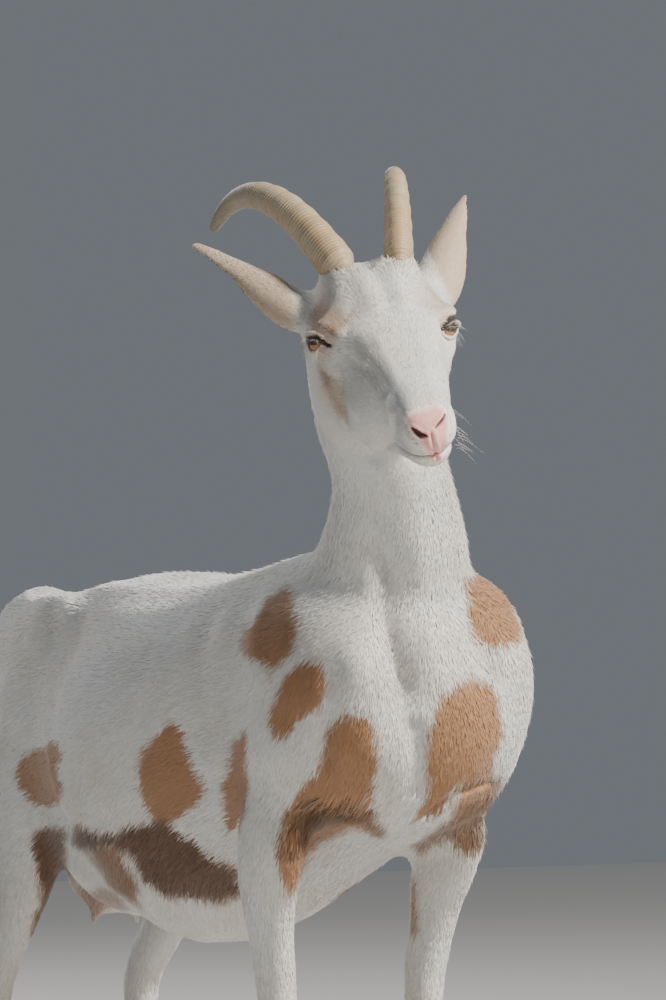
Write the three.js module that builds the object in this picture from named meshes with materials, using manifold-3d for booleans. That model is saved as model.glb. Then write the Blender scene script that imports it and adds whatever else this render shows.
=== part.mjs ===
// A life-size model of a standing, short-haired goat with horns and laid-back ears, chewing with its
// head turned.
// Millimetres. +Z is up, the goat faces -Y and its left side is +X. The origin is on the floor, under the
// middle of its bounding box.
// The flesh is modelled whole, out to the tips of the coat, and parted with thin cuts into head, neck,
// trunk, tail, udder and legs. Ears, horns, eyes, hoof claws and dewclaws are set into it as bodies of
// their own.
import * as THREE from "three";
import { mergeVertices } from "three/addons/utils/BufferGeometryUtils.js";
import Module from "manifold-3d";

// ---- Driving dimensions -------------------------------------------------------------------------
const GAP = 0.3; // between neighbouring bodies
const WITHERS = 690; // height of the back above the forelegs
const BRISKET = 416; // height of the breastbone between the forelegs
const BELLY = 308; // lowest point of the barrel
const TRACK_FRONT = 92; // from the midline to the middle of an elbow
const TRACK_HIND = 90; // from the midline to a hock
const CORONET = 34; // height of the line where skin meets hoof, at the middle of a foot
const CORONET_SLOPE = 0.3; // how that line drops from toe to heel
const EYE_R = 14.2; // eyeball
const EYE_AT = { out: 52.5, back: 8, down: 2 }; // eyeball's centre, from midway between the eyes
const GAZE = { out: 0.75, ahead: 0.6, up: 0.22 }; // where an eye looks
const MUZZLE = 141; // from the line between the eyes to the tip of the nose
const MUZZLE_TWIST = 10; // degrees that the chewing muzzle is rolled on the skull
const HORN_LONG = 232; // along its curve
const HORN_SUNK = 14; // how much of it stands inside the forehead
const HORN_ROOT = { across: 17, deep: 20 }; // half-widths of its oval root
const EAR_LONG = 134;

// How many faces go round each form.
const ROUND = { trunk: 22, neck: 16, head: 22, jaw: 12, leg: 11, tail: 8, horn: 10, eye: 12 };

// The head's place and turn: raised, looking a little to the goat's right, nose down, tipped to one side.
const HEAD_AT = new THREE.Vector3(-62, -160, 869); // midway between the eyes
const HEAD_TURN = { right: 10.4, down: 33, tip: 9 }; // degrees

// Where each foot stands, as how far it is behind its place in a square stance.
const STEP = { front: { left: 20, right: 6 }, hind: { left: 34, right: 0 } };

const FORWARD = new THREE.Vector3(0, -1, 0);
const BACK = new THREE.Vector3(0, 1, 0);
const UP = new THREE.Vector3(0, 0, 1);
const SIDES = { left: 1, right: -1 };

const v = (x, y, z) => new THREE.Vector3(x, y, z);
const rad = THREE.MathUtils.degToRad;
const wasm = await Module();
wasm.setup();

// ---- Making and joining solids ------------------------------------------------------------------

// A closed body from rings of points, each ring with the same count. Its ends are closed by a fan, or, where
// each ring is a bent strip that runs out along one face and back along the other, straight across the strip.
function skinOver(rings, { strip = false } = {}) {
  const count = rings[0].length;
  const points = rings.flat();
  const faces = [];
  for (let r = 0; r < rings.length - 1; r++)
    for (let i = 0; i < count; i++) {
      const [a, b] = [r * count + i, r * count + ((i + 1) % count)];
      faces.push(a, b, b + count, a, b + count, a + count);
    }
  const last = (rings.length - 1) * count;
  if (strip) {
    for (let i = 0; i < count / 2 - 1; i++) {
      const [a, b, c, d] = [i, i + 1, count - 2 - i, count - 1 - i];
      faces.push(b, a, d, b, d, c);
      faces.push(last + a, last + b, last + c, last + a, last + c, last + d);
    }
  } else {
    const middle = (ring) => ring.reduce((sum, p) => sum.add(p), v(0, 0, 0)).divideScalar(count);
    const [start, end] = [points.length, points.length + 1];
    points.push(middle(rings[0]), middle(rings.at(-1)));
    for (let i = 0; i < count; i++) {
      const next = (i + 1) % count;
      faces.push(start, next, i, end, last + i, last + next);
    }
  }
  return new THREE.BufferGeometry().setFromPoints(points).setIndex(faces);
}

// Turns a three.js geometry into a solid for joining and cutting.
function solid(geometry, matrix) {
  const bare = new THREE.BufferGeometry();
  bare.setAttribute("position", geometry.getAttribute("position").clone());
  if (geometry.index) bare.setIndex(geometry.index.clone());
  if (matrix) bare.applyMatrix4(matrix);
  const merged = mergeVertices(bare, 1e-3);
  const vertProperties = new Float32Array(merged.attributes.position.array);
  const triVerts = new Uint32Array(merged.index.array);
  const build = () => new wasm.Manifold(new wasm.Mesh({ numProp: 3, vertProperties, triVerts }));
  if (build().volume() < 0) triVerts.reverse(); // rings that run the other way round
  return build();
}

const join = (...solids) => solids.flat(Infinity).reduce((all, one) => all.add(one));

// One station of a form: where its middle is, and how far it reaches sideways, above and below.
// square bends the oval towards a box (1 is an oval, less is squarer).
const at = (x, y, z, wide, above, below = above, square = 1) => ({
  centre: v(x, y, z),
  size: v(wide, above, below),
  square,
});

// A place where a form stands out, or is hollowed where height is below zero: a soft bump of that height,
// fading out over its three reaches.
const swell = (x, y, z, rx, ry, rz, height) => ({ centre: v(x, y, z), reach: v(rx, ry, rz), height });

const onBothSides = (x, ...others) => [swell(x, ...others), swell(-x, ...others)];

// A form carried along its stations. top is the way that 'above' points, and roll turns it at its far end.
// Its rings stand square to the middle line, or to facing where that is given. bulge is how far its ends
// stand out.
// Each point is then moved away from the middle line by what the swells give there.
function form(stations, { round, steps, top = UP, facing, roll = 0, bulge = 0.35, swells = [], matrix }) {
  const centres = new THREE.CatmullRomCurve3(stations.map((s) => s.centre));
  centres.curveType = "catmullrom";
  const sizes = new THREE.CatmullRomCurve3(stations.map((s) => s.size));
  sizes.curveType = "catmullrom";
  const ring = (t, scale, push) => {
    const size = sizes.getPoint(t).multiplyScalar(scale);
    const along = facing ?? centres.getTangent(t);
    const centre = centres.getPoint(t).addScaledVector(along, push * sizes.getPoint(t).z);
    const above = top.clone().addScaledVector(along, -top.dot(along)).normalize();
    above.applyAxisAngle(along, roll * THREE.MathUtils.smoothstep(t, 0.4, 0.95));
    const side = new THREE.Vector3().crossVectors(above, along);
    const place = t * (stations.length - 1);
    const low = Math.min(Math.floor(place), stations.length - 2);
    const square = THREE.MathUtils.lerp(stations[low].square, stations[low + 1].square, place - low);
    return Array.from({ length: round }, (_, i) => {
      const a = (2 * Math.PI * i) / round;
      const [c, s] = [Math.cos(a), Math.sin(a)];
      const out = size.x * Math.sign(c) * Math.abs(c) ** square;
      const rise = (s > 0 ? size.y : size.z) * Math.sign(s) * Math.abs(s) ** square;
      const spoke = v(0, 0, 0).addScaledVector(side, out).addScaledVector(above, rise);
      const point = centre.clone().add(spoke);
      const from = (one) => point.clone().sub(one.centre).divide(one.reach).lengthSq();
      const lift = swells.reduce((sum, one) => sum + one.height * Math.exp(-from(one)), 0);
      return point.addScaledVector(spoke.normalize(), lift);
    });
  };
  const rings = Array.from({ length: steps + 1 }, (_, k) => ring(k / steps, 1, 0));
  return solid(skinOver([ring(0, 0.55, -bulge), ...rings, ring(1, 0.55, bulge)]), matrix);
}

// An egg: a sphere drawn out to three half-sizes, and turned about X where asked.
function egg(x, y, z, rx, ry, rz, { matrix, nod = 0, facets = 8 } = {}) {
  const local = new THREE.Matrix4()
    .makeTranslation(x, y, z)
    .multiply(new THREE.Matrix4().makeRotationX(rad(nod)))
    .scale(v(rx, ry, rz));
  if (matrix) local.premultiply(matrix);
  return solid(new THREE.SphereGeometry(1, facets, Math.round(facets * 0.6)), local);
}

// Everything on one side of a plane, within reach of a point on it. shift moves the plane along its normal.
function half(point, normal, { reach = 420, shift = 0 } = {}) {
  const n = normal.clone().normalize();
  const turn = new THREE.Quaternion().setFromUnitVectors(UP, n);
  const middle = point.clone().addScaledVector(n, reach / 2 + shift);
  const box = new THREE.BoxGeometry(reach, reach, reach);
  return solid(box, new THREE.Matrix4().compose(middle, turn, v(1, 1, 1)));
}

// ---- Trunk, neck and tail -----------------------------------------------------------------------

// The breast stands a little to the left of the line of the back, because the goat turns its head the
// other way.
const sway = (y) => 15 * THREE.MathUtils.smoothstep(-y, -160, 0);

// From the point of the breast to the pin bones. Each station gives its top, its bottom and its half-width.
function trunk() {
  const ribs = (y, top, bottom, wide, square = 0.92) => {
    const middle = bottom + 0.56 * (top - bottom);
    return at(sway(y), y, middle, wide, top - middle, middle - bottom, square);
  };
  return form(
    [
      ribs(-146, 574, 500, 32, 1),
      ribs(-136, 612, 470, 68, 1),
      ribs(-116, 640, BRISKET + 28, 94, 0.97),
      ribs(-88, 660, BRISKET + 10, 110, 0.93),
      ribs(-50, 674, BRISKET - 1, 118, 0.92),
      ribs(5, WITHERS - 6, BRISKET - 16, 124),
      ribs(85, WITHERS - 14, BRISKET - 50, 133),
      ribs(165, WITHERS - 27, BELLY + 22, 148, 0.95),
      ribs(250, WITHERS - 30, BELLY, 157, 0.97),
      ribs(330, WITHERS - 27, BELLY + 18, 145, 0.97),
      ribs(395, WITHERS - 36, BELLY + 20, 124, 0.86),
      ribs(450, WITHERS - 44, BELLY + 56, 110, 0.8),
      ribs(515, WITHERS - 53, BELLY + 112, 96, 0.8),
      ribs(566, WITHERS - 60, BELLY + 176, 76, 0.84),
      ribs(590, WITHERS - 95, BELLY + 218, 44, 0.95),
    ],
    { round: ROUND.trunk, steps: 21, facing: BACK, bulge: 0.1, swells: TRUNK_RELIEF },
  );
}

// From between the shoulders up to the back of the skull. 'above' is the crest of the neck.
function neck() {
  return form(
    [
      at(16, 30, 560, 86, 108, 96),
      at(16, -18, 622, 84, 94, 92),
      at(9, -50, 678, 71, 75, 76),
      at(-5, -72, 733, 57, 61, 62),
      at(-24, -86, 785, 52, 54, 57),
      at(-40, -91, 835, 52, 50, 53),
      at(-46, -95, 884, 43, 38, 45),
      at(-49, -106, 912, 24, 20, 28),
    ],
    { round: ROUND.neck, steps: 9, top: v(0, 0.9, 0.45).normalize() },
  );
}

function tail() {
  return form(
    [
      at(0, 560, 598, 21, 16),
      at(0, 590, 604, 18, 12),
      at(0, 617, 597, 16, 10),
      at(0, 641, 578, 14, 9),
      at(0, 657, 548, 10, 7),
      at(0, 664, 522, 4, 3),
    ],
    { round: ROUND.tail, steps: 7 },
  );
}

// What stands out from the barrel, or is hollowed in it.
const TRUNK_RELIEF = [
  ...onBothSides(88, 408, WITHERS - 46, 30, 34, 32, 33), // point of the hip
  ...onBothSides(60, 560, WITHERS - 120, 30, 30, 34, 12), // pin bone
  ...onBothSides(120, 362, WITHERS - 104, 44, 40, 44, -12), // hollow of the flank
  ...onBothSides(108, 478, 516, 50, 66, 70, 20), // thigh
  ...onBothSides(112, -30, 585, 44, 72, 74, 14), // shoulder
  ...onBothSides(80, -112, 560, 40, 36, 42, 12), // point of the shoulder
  ...onBothSides(108, -24, 470, 44, 62, 52, 16), // upper arm
  swell(-100, -46, 486, 50, 52, 66, 22), // more of it on the right, where the breast is swayed away
  swell(100, -64, 640, 40, 60, 40, 12), // the neck's root is fuller on the side that is stretched
  swell(0, 10, WITHERS, 40, 110, 40, 8), // ridge of the withers
];

function udder() {
  const bag = egg(0, 472, BELLY + 78, 50, 56, 64, { facets: 10 });
  const teats = Object.values(SIDES).map((side) =>
    form(
      [
        at(side * 21, 468, BELLY + 38, 11, 11),
        at(side * 23, 464, BELLY + 18, 7.5, 7.5),
        at(side * 24, 462, BELLY + 8, 5, 5),
      ],
      { round: 6, steps: 3, top: FORWARD },
    ),
  );
  return join(bag, teats);
}

// ---- Legs ---------------------------------------------------------------------------------------

// Shoulder blade to coronet. 'above' is the front of the leg. The legs lean inwards from the elbow down.
function foreleg(side, step) {
  const x = side * TRACK_FRONT;
  const [knee, foot] = [x - side * 13, x - side * 16];
  return form(
    [
      at(side * 56 + sway(0), 0, 545, 16, 24, 30),
      at(side * 72 + sway(0) * 0.7, -8, 508, 25, 34, 46),
      at(side * 86, -13, 462, 31, 39, 55),
      at(x, -10, 422, 32, 46, 56),
      at(x - side, 2 + step * 0.3, 382, 28, 40, 44),
      at(x - side * 5, 2 + step * 0.6, 342, 22, 29, 31),
      at(x - side * 10, step, 296, 20.5, 25, 25),
      at(knee, step - 3, 248, 19, 21, 22),
      at(knee, step - 4, 214, 21.5, 23.5, 21),
      at(knee, step - 2, 182, 17.5, 18, 18),
      at(foot, step - 1, 138, 14, 15.5, 15.5),
      at(foot, step - 2, 98, 16, 17, 19),
      at(foot, step - 4, 80, 18.5, 18, 21),
      at(foot, step - 13, 56, 17, 17, 17.5),
      at(foot, step - 20, CORONET - 12, 21, 26, 23, 0.9),
    ],
    { round: ROUND.leg, steps: 19, top: FORWARD },
  );
}

// Hip to coronet. 'above' is the front of the leg.
function hindleg(side, step) {
  const x = side * TRACK_HIND;
  const y = 540 + step;
  return form(
    [
      at(side * 58, 486, 572, 30, 58, 64),
      at(side * 77, 474, 512, 44, 80, 90),
      at(side * 87, 460, 446, 41, 72, 88),
      at(side * 90, 470, 390, 33, 50, 64),
      at(x, 492 + step * 0.4, 342, 25.5, 35, 42),
      at(x, 514 + step * 0.7, 300, 20.5, 25, 31),
      at(x, y - 2, 266, 19.5, 24, 29),
      at(x, y + 4, 236, 18.5, 22, 24),
      at(x, y + 2, 196, 16, 18, 18),
      at(x, y - 3, 142, 14.5, 16, 16),
      at(x, y - 6, 98, 16.5, 17.5, 19),
      at(x, y - 8, 80, 18.5, 18, 21),
      at(x, y - 17, 56, 17, 17, 17.5),
      at(x, y - 23, CORONET - 12, 20.5, 25, 23, 0.9),
    ],
    { round: ROUND.leg, steps: 18, top: FORWARD },
  );
}

// The four feet, each by the middle of its sole.
const FEET = Object.entries(SIDES).flatMap(([name, side]) => [
  { name: `front_${name}`, side, x: side * (TRACK_FRONT - 16), y: STEP.front[name] - 22 },
  { name: `hind_${name}`, side, x: side * TRACK_HIND, y: 515 + STEP.hind[name] },
]);

// One claw of a hoof, drawn in side view and narrowed to its toe: a flat sole, and walls that slope back.
function claw(foot, side) {
  const [heel, toe, wide, edge] = [-25, 33, 20.5, 5];
  const line = (along) => CORONET - GAP + CORONET_SLOPE * along; // the top edge, higher in front
  const outline = new THREE.Shape();
  outline.moveTo(heel, 0);
  outline.lineTo(toe - edge, 0);
  outline.quadraticCurveTo(toe, 0, toe - 1, edge);
  outline.lineTo(16, line(16));
  outline.lineTo(heel + 3, line(heel + 3));
  outline.quadraticCurveTo(heel - 3, CORONET * 0.4, heel, 0);
  const block = new THREE.ExtrudeGeometry(outline, {
    depth: 1,
    bevelEnabled: false,
    curveSegments: 2,
  });
  const place = block.attributes.position;
  for (let i = 0; i < place.count; i++) {
    const tip = THREE.MathUtils.clamp(place.getX(i) / toe, 0, 1);
    const width = wide * (1 - 0.42 * tip ** 2) * (1 - 0.1 * (place.getY(i) / CORONET));
    const inner = 1.2 + 2 * tip; // how far its flat inner wall stands from the cleft's middle
    place.setZ(i, side * (inner + place.getZ(i) * width));
  }
  // The outline's x is the goat's forward, its y is up.
  const stand = new THREE.Matrix4().makeBasis(FORWARD, UP, v(1, 0, 0));
  return solid(block, stand.setPosition(foot.x, foot.y, 0));
}

// A small hard nub above the heel.
const dewclaw = (foot, side, grow = 0) =>
  egg(foot.x + side * 10, foot.y + 27, 70, 7 + grow, 7 + grow, 9 + grow, { nod: 20, facets: 6 });

// The space that a foot's claws fill, below the sloping line of the coronet.
const shoe = (foot) => half(v(foot.x, foot.y, CORONET), v(0, CORONET_SLOPE * -1, -1), { reach: 130 });

// ---- Head ---------------------------------------------------------------------------------------

// The head's own frame: +X its left, -Y along the bridge of the nose, +Z out of the forehead.
const HEAD = new THREE.Matrix4()
  .makeRotationZ(-rad(HEAD_TURN.right))
  .multiply(new THREE.Matrix4().makeRotationX(rad(HEAD_TURN.down)))
  .multiply(new THREE.Matrix4().makeRotationY(-rad(HEAD_TURN.tip)))
  .setPosition(HEAD_AT);

// The frame of the twisted muzzle: the head's, rolled about a line along the middle of the muzzle.
const MUZZLE_MID = -14;
const NOSE = HEAD.clone()
  .multiply(new THREE.Matrix4().makeTranslation(0, 0, MUZZLE_MID))
  .multiply(new THREE.Matrix4().makeRotationY(-rad(MUZZLE_TWIST)))
  .multiply(new THREE.Matrix4().makeTranslation(0, 0, -MUZZLE_MID));

// Skull, face and muzzle down to the edge of the upper lip, with the back of the jaw.
// Each station gives its top line, the height where it is widest, its bottom line and its half-width.
const SKULL_RELIEF = [
  ...onBothSides(62, 4, -1, 20, 26, 21, 12), // lids
  ...onBothSides(60, 6, 17, 18, 28, 12, 8), // brow, over the eye
  ...onBothSides(42, -30, 2, 12, 16, 12, -4), // hollow in front of the eye
  ...onBothSides(56, 32, -58, 24, 40, 30, 5), // cheek muscle
  ...onBothSides(46, 34, -88, 22, 32, 20, 8), // angle of the jaw
  ...onBothSides(29, 64, 42, 20, 22, 22, 14), // horn's boss
  ...onBothSides(56, 60, -8, 14, 20, 20, 10), // root of the ear
  ...onBothSides(20, -126, 2, 11, 14, 12, 4), // nostril's wing
  swell(0, 20, 40, 14, 40, 20, 3), // ridge of the forehead
  swell(0, 76, 40, 12, 18, 20, -9), // dip between the horns
  swell(-38, -52, -60, 20, 32, 24, 15), // the full cheek, with food in it
  swell(-50, 24, -86, 20, 30, 26, 4), // and behind it
];

function skull() {
  const face = (y, top, middle, bottom, wide, square) =>
    at(0, y, middle, wide, top - middle, middle - bottom, square);
  return form(
    [
      face(100, 8, -22, -58, 33, 1),
      face(84, 32, -24, -82, 48, 0.9),
      face(58, 41, -26, -97, 57, 0.82),
      face(30, 41, -26, -108, 58, 0.76),
      face(0, 35, -22, -102, 56, 0.76),
      face(-25, 28, -19, -90, 48, 0.77),
      face(-50, 22, -16, -74, 40, 0.8),
      face(-75, 18, -14, -56, 34, 0.82),
      face(-100, 14, -14, -42, 28.5, 0.84),
      face(-118, 10, -15, -38, 26.5, 0.88),
      face(-132, 4, -16, -35, 23.5, 0.93),
      face(-MUZZLE, -4, -16, -27, 16.5, 1),
    ],
    {
      round: ROUND.head,
      steps: 18,
      facing: FORWARD,
      roll: rad(MUZZLE_TWIST),
      swells: SKULL_RELIEF,
      matrix: HEAD,
    },
  );
}

// The lower jaw from its angle to the chin, narrower than the lip that hangs over it.
function jaw() {
  return form(
    [
      at(0, -5, -70, 38, 20, 30),
      at(-1, -35, -66, 35, 20, 25),
      at(0, -68, -55, 29.5, 18, 21),
      at(3, -98, -46, 24.5, 14, 17.5),
      at(4, -117, -42, 20.5, 10, 15),
      at(5, -128, -39, 14, 7, 9),
    ],
    { round: ROUND.jaw, steps: 9, matrix: HEAD },
  );
}

function nostril(side) {
  return form(
    [
      at(side * 6, -152, -12, 2.6, 4, 4),
      at(side * 9, -140, -9, 3.2, 5, 4.5),
      at(side * 16, -128, -2, 2.4, 5, 3),
    ],
    { round: 8, steps: 4, matrix: NOSE },
  );
}

// An eye's own frame: +X where it looks, +Y along the slit of the lids, from its inner to its outer corner.
function eyeFrame(side) {
  const look = v(side * GAZE.out, -GAZE.ahead, GAZE.up).normalize();
  const slit = v(side * 0.55, 0.78, -0.3);
  slit.addScaledVector(look, -slit.dot(look)).normalize();
  const across = new THREE.Vector3().crossVectors(look, slit);
  const frame = new THREE.Matrix4().makeBasis(look, slit, across);
  frame.setPosition(side * EYE_AT.out, EYE_AT.back, -EYE_AT.down);
  return frame.premultiply(HEAD);
}

function eye(side, grow = 0) {
  const r = EYE_R + grow;
  return egg(0, 0, 0, r, r, r, { matrix: eyeFrame(side), facets: ROUND.eye });
}

// The opening between the lids, long and low, where the eye shows.
const lidOpening = (side) => egg(13, 0, 0, 13, 14, 7.5, { matrix: eyeFrame(side), facets: 10 });

// A horn leaves the forehead leaning back and out, and bends down in an arc that tightens to its tip.
const TIP = 2; // half-width of its blunt end
function horn(side, grow = 0) {
  const [root, lean, bend, spread, steps] = [v(side * 28, 70, 39), 14, 100, 15, 13];
  const point = root.clone().add(v(side * -3, -14 - grow, -4)); // starts inside the forehead
  const rings = [];
  for (let k = 0; k <= steps; k++) {
    const t = k / steps;
    const angle = rad(lean - bend * t ** 1.7); // above the line that runs straight back
    const out = rad(spread);
    const along = v(side * Math.sin(out), Math.cos(angle) * Math.cos(out), Math.sin(angle) * Math.cos(out));
    const above = v(0, -Math.sin(angle), Math.cos(angle));
    const flank = new THREE.Vector3().crossVectors(above, along);
    const taper = (1 - t) ** 0.6;
    const bulk = k ? 1 : 0.55; // its first ring is narrowed, to hide in the forehead
    const across = grow + (TIP + (HORN_ROOT.across - TIP) * taper ** 0.75) * bulk;
    const deep = grow + (TIP + (HORN_ROOT.deep - TIP) * taper) * bulk;
    rings.push(
      Array.from({ length: ROUND.horn }, (_, i) => {
        const a = (2 * Math.PI * i) / ROUND.horn;
        return point
          .clone()
          .addScaledVector(flank, across * Math.cos(a))
          .addScaledVector(above, deep * Math.sin(a));
      }),
    );
    point.addScaledVector(along, (HORN_LONG + HORN_SUNK) / steps);
  }
  return solid(skinOver(rings), HEAD);
}

// An ear is a leaf-shaped cup: a curled wall, rolled to a tube at its root and flatter at its tip.
// It is laid back and out, with its mouth down and to the side.
function ear(side, grow = 0) {
  const place = new THREE.Matrix4().makeTranslation(side * 55, 60, -10);
  const lift = side > 0 ? 0.26 : 0.18; // the right ear is carried a little lower
  const axis = v(side * 0.59, 0.79, lift).normalize();
  const mouth = v(side * 0.5, -0.1, -0.86);
  mouth.addScaledVector(axis, -mouth.dot(axis)).normalize();
  const edge = new THREE.Vector3().crossVectors(axis, mouth);
  const [steps, halves, sunk] = [7, 5, 8];
  const rings = [];
  for (let k = 0; k <= steps; k++) {
    const t = k / steps;
    const open = THREE.MathUtils.smoothstep(t, 0, 0.25);
    const radius = (17 + 8 * open) * (1 - t) ** 0.8 + 1.5;
    const wall = 3.2 - 1.4 * t + 2 * grow;
    const curl = rad(THREE.MathUtils.lerp(150, 82, Math.min(1, t * 1.6))) + grow / radius;
    const centre = axis.clone().multiplyScalar((EAR_LONG + sunk) * t - sunk - grow);
    centre.addScaledVector(mouth, 6 * Math.sin(Math.PI * t));
    const arc = (r, sign) =>
      Array.from({ length: halves + 1 }, (_, i) => {
        const a = sign * curl * ((2 * i) / halves - 1);
        const from = centre.clone().addScaledVector(edge, r * Math.sin(a));
        return from.addScaledVector(mouth, -r * Math.cos(a));
      });
    rings.push([...arc(radius + wall / 2, 1), ...arc(radius - wall / 2, -1)]);
  }
  return solid(skinOver(rings, { strip: true }), HEAD.clone().multiply(place));
}

// ---- The whole animal, and its parting ----------------------------------------------------------

function flesh() {
  const limbs = Object.entries(SIDES).map(([name, side]) => [
    foreleg(side, STEP.front[name]),
    hindleg(side, STEP.hind[name]),
  ]);
  return join(trunk(), neck(), udder(), tail(), limbs, skull(), jaw());
}

// Each region is where a part lies, as planes given by a point and the normal that points into the part,
// with how far the plane reaches.
const REGIONS = {
  head: [[v(-42, -85, 860), v(-0.29, -0.92, 0.26), 500]],
  neck: [[v(0, -60, 646), v(0, -0.616, 0.788), 700]],
  tail: [[v(0, 606, 600), v(0, 0.95, 0.3), 300]],
  udder: [[v(0, 476, BELLY + 60), v(0, -0.1, -1), 106]],
};
for (const [name, side] of Object.entries(SIDES)) {
  const midline = [v(side * 1, 250, 300), v(side, 0, 0), 1100];
  REGIONS["foreleg_" + name] = [
    midline,
    [v(side * 44, 0, 396), v(side * 0.5, -0.25, -0.83), 900],
    [v(side * 80, 37, 400), v(0, -1, -0.15), 900],
  ];
  REGIONS["hindleg_" + name] = [
    midline,
    [v(side * 36, 480, 420), v(side * 0.9, 0.05, -0.42), 900],
    [v(side * 90, 372, 430), v(0, 1, -0.22), 900],
  ];
}

const region = (planes, shift) =>
  planes.map(([p, n, reach]) => half(p, n, { shift, reach })).reduce((all, one) => all.intersect(one));

const solids = new Map();
let rest = flesh();
for (const foot of FEET) rest = rest.subtract(shoe(foot)); // hooves take over here
for (const [name, planes] of Object.entries(REGIONS)) {
  solids.set(name, rest.intersect(region(planes, 0)));
  rest = rest.subtract(region(planes, -GAP));
}
solids.set("trunk", rest);
const cut = (name, ...tools) => solids.set(name, solids.get(name).subtract(join(tools)));
for (const [name, side] of Object.entries(SIDES)) {
  cut("head", eye(side, GAP), lidOpening(side), horn(side, GAP), ear(side, GAP), nostril(side));
  solids.set("eye_" + name, eye(side));
  solids.set("horn_" + name, horn(side));
  solids.set("ear_" + name, ear(side));
}
for (const foot of FEET)
  for (const [which, side] of Object.entries({ inner: -foot.side, outer: foot.side })) {
    const leg = foot.name.replace("front", "foreleg").replace("hind", "hindleg");
    cut(leg, dewclaw(foot, side, GAP));
    solids.set(`claw_${foot.name}_${which}`, claw(foot, side));
    solids.set(`dewclaw_${foot.name}_${which}`, dewclaw(foot, side));
  }

// ---- Materials and assembly ---------------------------------------------------------------------

const finish = (color, roughness) => ({ color, roughness, metalness: 0 });
const FINISHES = {
  coat: finish(0xe6ded2, 0.88), // short white hair
  pink: finish(0xd8b3a4, 0.7), // thinly haired skin
  horn: finish(0xb29a77, 0.5),
  eye: finish(0x9a6428, 0.1),
  hoof: finish(0x6b5c4c, 0.6),
};
const WORN = { ear: "pink", udder: "pink", horn: "horn", eye: "eye", claw: "hoof", dewclaw: "hoof" };
const materials = Object.fromEntries(
  Object.entries(FINISHES).map(([name, look]) => [name, new THREE.MeshStandardMaterial({ name, ...look })]),
);

const group = new THREE.Group();
for (const [name, body] of solids) {
  const { vertProperties, triVerts } = body.getMesh();
  const geometry = new THREE.BufferGeometry();
  geometry.setAttribute("position", new THREE.BufferAttribute(vertProperties, 3));
  geometry.setIndex(new THREE.BufferAttribute(triVerts, 1));
  const mesh = new THREE.Mesh(geometry, materials[WORN[name.split("_")[0]] ?? "coat"]);
  mesh.name = name;
  group.add(mesh);
}

// The model is brought over the origin, and left standing on the floor.
const reach = new THREE.Box3().setFromObject(group);
const middle = reach.getCenter(v(0, 0, 0));
for (const mesh of group.children) {
  mesh.geometry.translate(-middle.x, -middle.y, -reach.min.z);
  mesh.geometry.computeVertexNormals();
}

export default group;
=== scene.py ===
"""A standing white goat with tan patches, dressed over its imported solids: one skin, a short coat in tufts,
horns, eyes, claws, lashes and whiskers. Lengths are metres unless a name ends in _mm."""

import math

import bpy
import numpy as np
from mathutils import Matrix, Vector


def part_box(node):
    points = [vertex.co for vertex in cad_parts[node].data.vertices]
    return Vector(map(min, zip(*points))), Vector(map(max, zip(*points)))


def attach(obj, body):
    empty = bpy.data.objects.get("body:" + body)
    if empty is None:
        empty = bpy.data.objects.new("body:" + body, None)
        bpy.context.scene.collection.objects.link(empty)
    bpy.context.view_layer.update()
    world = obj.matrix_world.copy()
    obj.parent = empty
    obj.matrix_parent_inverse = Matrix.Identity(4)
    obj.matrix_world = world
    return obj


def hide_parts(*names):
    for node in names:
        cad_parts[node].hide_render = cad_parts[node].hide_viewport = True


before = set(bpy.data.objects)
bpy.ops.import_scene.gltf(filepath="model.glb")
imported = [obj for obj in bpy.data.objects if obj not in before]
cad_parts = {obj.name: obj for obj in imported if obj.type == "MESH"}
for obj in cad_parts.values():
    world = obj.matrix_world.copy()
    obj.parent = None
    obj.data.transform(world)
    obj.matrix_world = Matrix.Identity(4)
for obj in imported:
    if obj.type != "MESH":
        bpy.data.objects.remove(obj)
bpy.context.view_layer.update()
RNG = np.random.default_rng(7)

# ---- Where things are ----

SIDES = {"left": 1.0, "right": -1.0}
FLESH = ["head", "neck", "trunk", "tail", "udder", "foreleg_left", "foreleg_right", "hindleg_left",
         "hindleg_right"]
EYE_IN_HEAD = np.array([52.5, 8.0, -2.0])  # the left eyeball's centre in the head's frame, in mm
EYE_R_MM = 14.2
EYE_SHIFT = np.array([-2.8, 0, 0])  # how far both lie towards its right, in mm
GAZE = {1.0: np.array([0.42, -0.88, 0.31]), -1.0: np.array([-0.92, -0.34, 0.30])}  # where each eye looks
VIEW_ANGLE = -30.0  # the camera looks along +y turned by so many degrees about z
TWIST_DEEP = 14  # how far under the bridge of the nose the muzzle's roll has its axis, in mm
HEAD_LONG, POLL_AT = 241, 100  # from the poll to the tip of the nose, and where the poll lies, in mm
NOSE_AT = [0, -128, -16]  # the middle of the nose's front in the head's frame, untwisted, in mm


def turn(axis, degrees):
    """The 3x3 matrix that turns column vectors about one axis, 'X', 'Y' or 'Z'."""
    return np.array(Matrix.Rotation(math.radians(degrees), 3, axis))


def middle(node):
    """The middle of a CAD node's box."""
    low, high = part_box(node)
    return (np.array(low) + np.array(high)) / 2


HEAD_TURN = turn("Z", -10.4) @ turn("X", 33) @ turn("Y", -9)
HEAD_AT = (middle("eye_left") + middle("eye_right")) / 2 - HEAD_TURN @ (EYE_IN_HEAD * [0, 1, 1]) / 1000
# The solids are drawn about the elbows and then centred. This is the drawing's zero in the centred frame.
DRAWN_AT = HEAD_AT - np.array([-0.062, -0.160, 0.869])


def eye_at(side):
    """An eyeball's centre in the head's frame."""
    return EYE_IN_HEAD * [side, 1, 1] + EYE_SHIFT


def unit(v):
    """Vectors scaled to length 1."""
    return v / np.maximum(np.linalg.norm(v, axis=-1, keepdims=True), 1e-12)


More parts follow.
